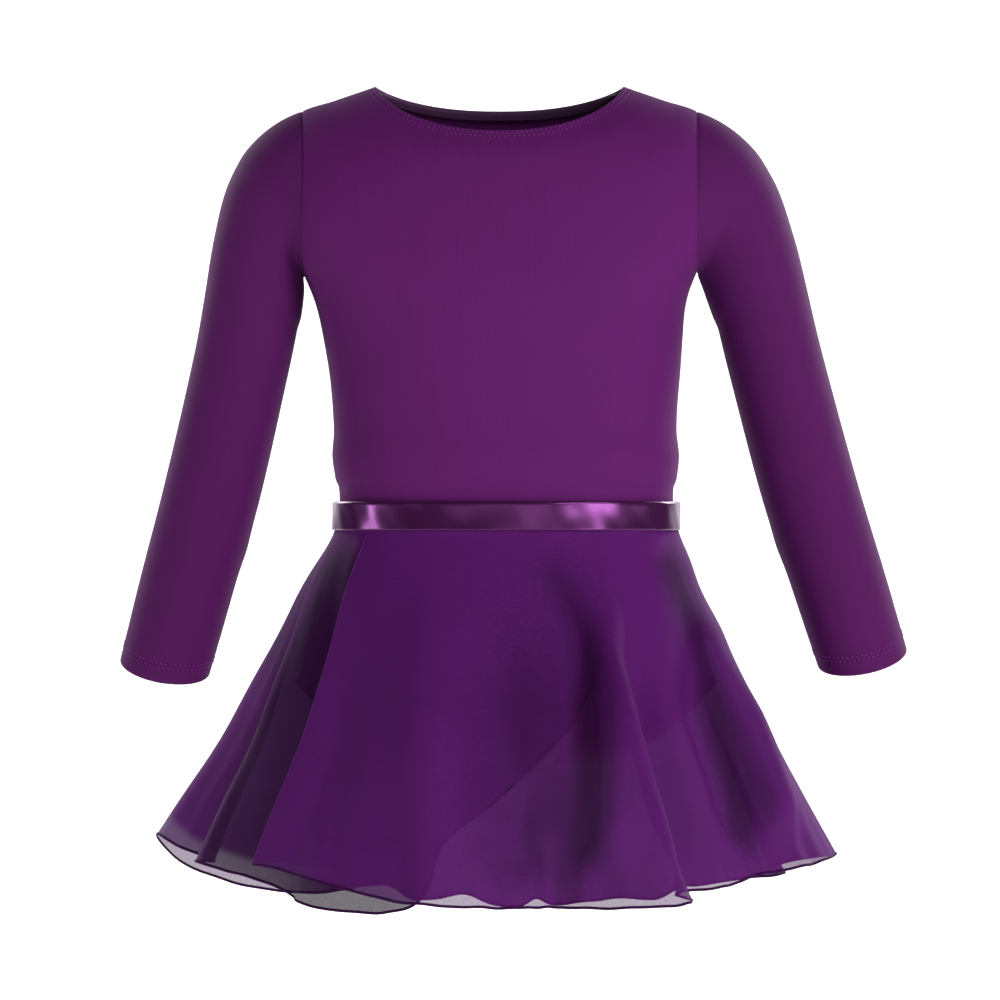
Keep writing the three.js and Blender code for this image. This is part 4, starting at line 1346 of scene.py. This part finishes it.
class LEOTARD_OT_ribbon(bpy.types.Operator):
    """Folds the satin ribbon round the waist and ties its bow"""

    bl_idname = "leotard.ribbon"
    bl_label = "Ribbon and bow"

    def execute(self, context):
        grid = ribbon_grid()
        band = cloth_grid("satin_waistband", grid, closed=True)
        outward = -1 if band.data.polygons[0].normal.dot(Vector((0, -1, 0))) > 0 else 1
        thicken(band, 0.35 * MM, outward)
        set_finish(band, "satin")
        folded = {"flat": (0.567, 0.036), "held": "folded", "on": ["front_bodice"]}
        worn(band, "wrap_skirt", "satin", "waistband_ribbon", **folded)
        seam = np.concatenate([grid[:, -3], grid[:1, -3]])
        centre = seam.mean(axis=0)
        row = (seam, unit((seam - centre) * (1, 1, 0)))
        thread = stitches("waistband_stitches", [row], "satin_thread", 1.9, 0.2)
        worn(thread, "wrap_skirt", "thread")
        folded = {"flat": (0.048, 0.017), "held": "folded", "on": ["satin_waistband"]}
        worn(bow_knot(), "wrap_skirt", "satin", "bow_knot", **folded)
        for name, side in (("left", 1), ("right", -1)):
            loop = bow_loop(f"{name}_satin_loop", side)
            folded = {"flat": (0.102, 0.017), "held": "folded", "on": ["tied_knot"]}
            worn(loop, "wrap_skirt", "satin", f"{name}_bow_loop", **folded)
            tail = bow_tail(f"{name}_satin_tail", side)
            nodes = (f"{name}_ribbon_tail",)
            worn(tail, f"{name}_tail", "satin", *nodes, flat=(0.143, 0.017), held="hung", on=["tied_knot"])
        return {"FINISHED"}


class LEOTARD_OT_stage(bpy.types.Operator):
    """Sets up the floor, the backdrop, the lights and the camera"""

    bl_idname = "leotard.stage"
    bl_label = "Stage"

    def execute(self, context):
        floor_z = CAD_BOX[0][2] - 0.14
        bpy.ops.object.select_all(action="DESELECT")
        bpy.ops.mesh.primitive_plane_add(size=1, location=(0, 0, floor_z))
        floor = context.object
        floor.name = "studio_floor"
        floor.scale = (12, 12, 1)
        bpy.ops.object.transform_apply(location=True, rotation=True, scale=True)
        bpy.ops.object.mode_set(mode="EDIT")
        bpy.ops.mesh.select_all(action="DESELECT")
        bpy.ops.object.mode_set(mode="OBJECT")
        for edge in floor.data.edges:
            ends = [floor.data.vertices[i].co for i in edge.vertices]
            edge.select = all(end.y > 5.9 for end in ends)
        bpy.ops.object.mode_set(mode="EDIT")
        bpy.ops.mesh.extrude_region_move(TRANSFORM_OT_translate={"value": (0, 0, 8)})
        bpy.ops.object.mode_set(mode="OBJECT")
        bevel = floor.modifiers.new("cove", "BEVEL")
        bevel.width = 2.0
        bevel.segments = 24
        apply_all(floor)
        floor.data.polygons.foreach_set("use_smooth", [True] * len(floor.data.polygons))
        f = Finish("studio_paper")
        grain = f.node("ShaderNodeTexNoise", None, {"Scale": 40.0})
        shader = f.node(
            "ShaderNodeBsdfPrincipled",
            None,
            {
                "Base Color": (0.93, 0.93, 0.93, 1),
                "Roughness": 0.9 + (grain - 0.5) * 0.1,
                "Emission Color": (1, 1, 1, 1),
                "Emission Strength": 0.3,
            },
        )
        floor.data.materials.append(f.surface(shader))
        world = bpy.data.worlds.new("studio_air")
        world.use_nodes = True
        tree, air = world.node_tree, world.node_tree.nodes["Background"]
        air.inputs["Color"].default_value = (1, 1, 1, 1)
        air.inputs["Strength"].default_value = 0.07
        seen = tree.nodes.new("ShaderNodeBackground")
        seen.inputs["Strength"].default_value = 0.95
        ray, choice = tree.nodes.new("ShaderNodeLightPath"), tree.nodes.new("ShaderNodeMixShader")
        tree.links.new(ray.outputs["Is Camera Ray"], choice.inputs[0])
        tree.links.new(air.outputs[0], choice.inputs[1])
        tree.links.new(seen.outputs[0], choice.inputs[2])
        tree.links.new(choice.outputs[0], tree.nodes["World Output"].inputs["Surface"])
        context.scene.world = world
        centre = Vector((0, 0, WAIST_Z * MM))
        for name, place, size, watts in (
            ("key", (1.25, -1.6, 0.95), (0.7, 0.9), 22.0),
            ("ribbon_strip", (1.75, -2.1, -0.3), (0.6, 0.7), 20.0),
            ("fill", (0.4, -3.0, -0.1), (0.8, 0.8), 4.0),
            ("left_side", (-2.2, -0.45, -0.25), (0.45, 0.5), 9.0),
            ("left_rim", (-1.5, 1.5, 0.7), (0.9, 0.9), 30.0),
            ("right_rim", (1.5, 1.5, 0.7), (0.9, 0.9), 38.0),
            ("backdrop_wash", (0.0, 2.6, 2.2), (3.0, 3.0), 170.0),
        ):
            light = bpy.data.lights.new(name, "AREA")
            light.shape = "RECTANGLE"
            light.size, light.size_y = size
            light.energy = watts
            lamp = bpy.data.objects.new(name, light)
            lamp.location = place
            target = Vector((0, 6.0, 0.6)) if name == "backdrop_wash" else centre
            lamp.rotation_euler = (target - lamp.location).to_track_quat("-Z", "Y").to_euler()
            context.scene.collection.objects.link(lamp)
        lens = bpy.data.cameras.new("studio_camera")
        lens.sensor_width = 36
        lens.lens = 270
        camera = bpy.data.objects.new("studio_camera", lens)
        camera.location = (-0.003, -4.5, -0.248)
        camera.rotation_euler = (math.pi / 2, 0, 0)
        context.scene.collection.objects.link(camera)
        context.scene.camera = camera
        context.scene.view_settings.view_transform = "Standard"
        return {"FINISHED"}


class LEOTARD_PT_panel(bpy.types.Panel):
    """Lists the pieces of the leotard"""

    bl_idname = "LEOTARD_PT_panel"
    bl_label = "Leotard"
    bl_space_type = "VIEW_3D"
    bl_region_type = "UI"
    bl_category = "Leotard"

    def draw(self, context):
        for group in (context.scene.leotard_sizes, context.scene.leotard_colours):
            for name in group.bl_rna.properties.keys():
                if name not in ("rna_type", "name"):
                    self.layout.prop(group, name)
        for operator in OPERATORS:
            self.layout.operator(operator.bl_idname)


OPERATORS = (
    LEOTARD_OT_stage,
    LEOTARD_OT_body,
    LEOTARD_OT_linings,
    LEOTARD_OT_sleeves,
    LEOTARD_OT_skirt,
    LEOTARD_OT_ribbon,
)
CLASSES = (LeotardSizes, LeotardColours, *OPERATORS, LEOTARD_PT_panel)


def register():
    for each in CLASSES:
        bpy.utils.register_class(each)
    bpy.types.Scene.leotard_sizes = bpy.props.PointerProperty(type=LeotardSizes)
    bpy.types.Scene.leotard_colours = bpy.props.PointerProperty(type=LeotardColours)


def unregister():
    del bpy.types.Scene.leotard_colours
    del bpy.types.Scene.leotard_sizes
    for each in reversed(CLASSES):
        bpy.utils.unregister_class(each)


def main():
    register()
    for operator in OPERATORS:
        group, name = operator.bl_idname.split(".")
        getattr(getattr(bpy.ops, group), name)()


if __name__ == "__main__":
    main()
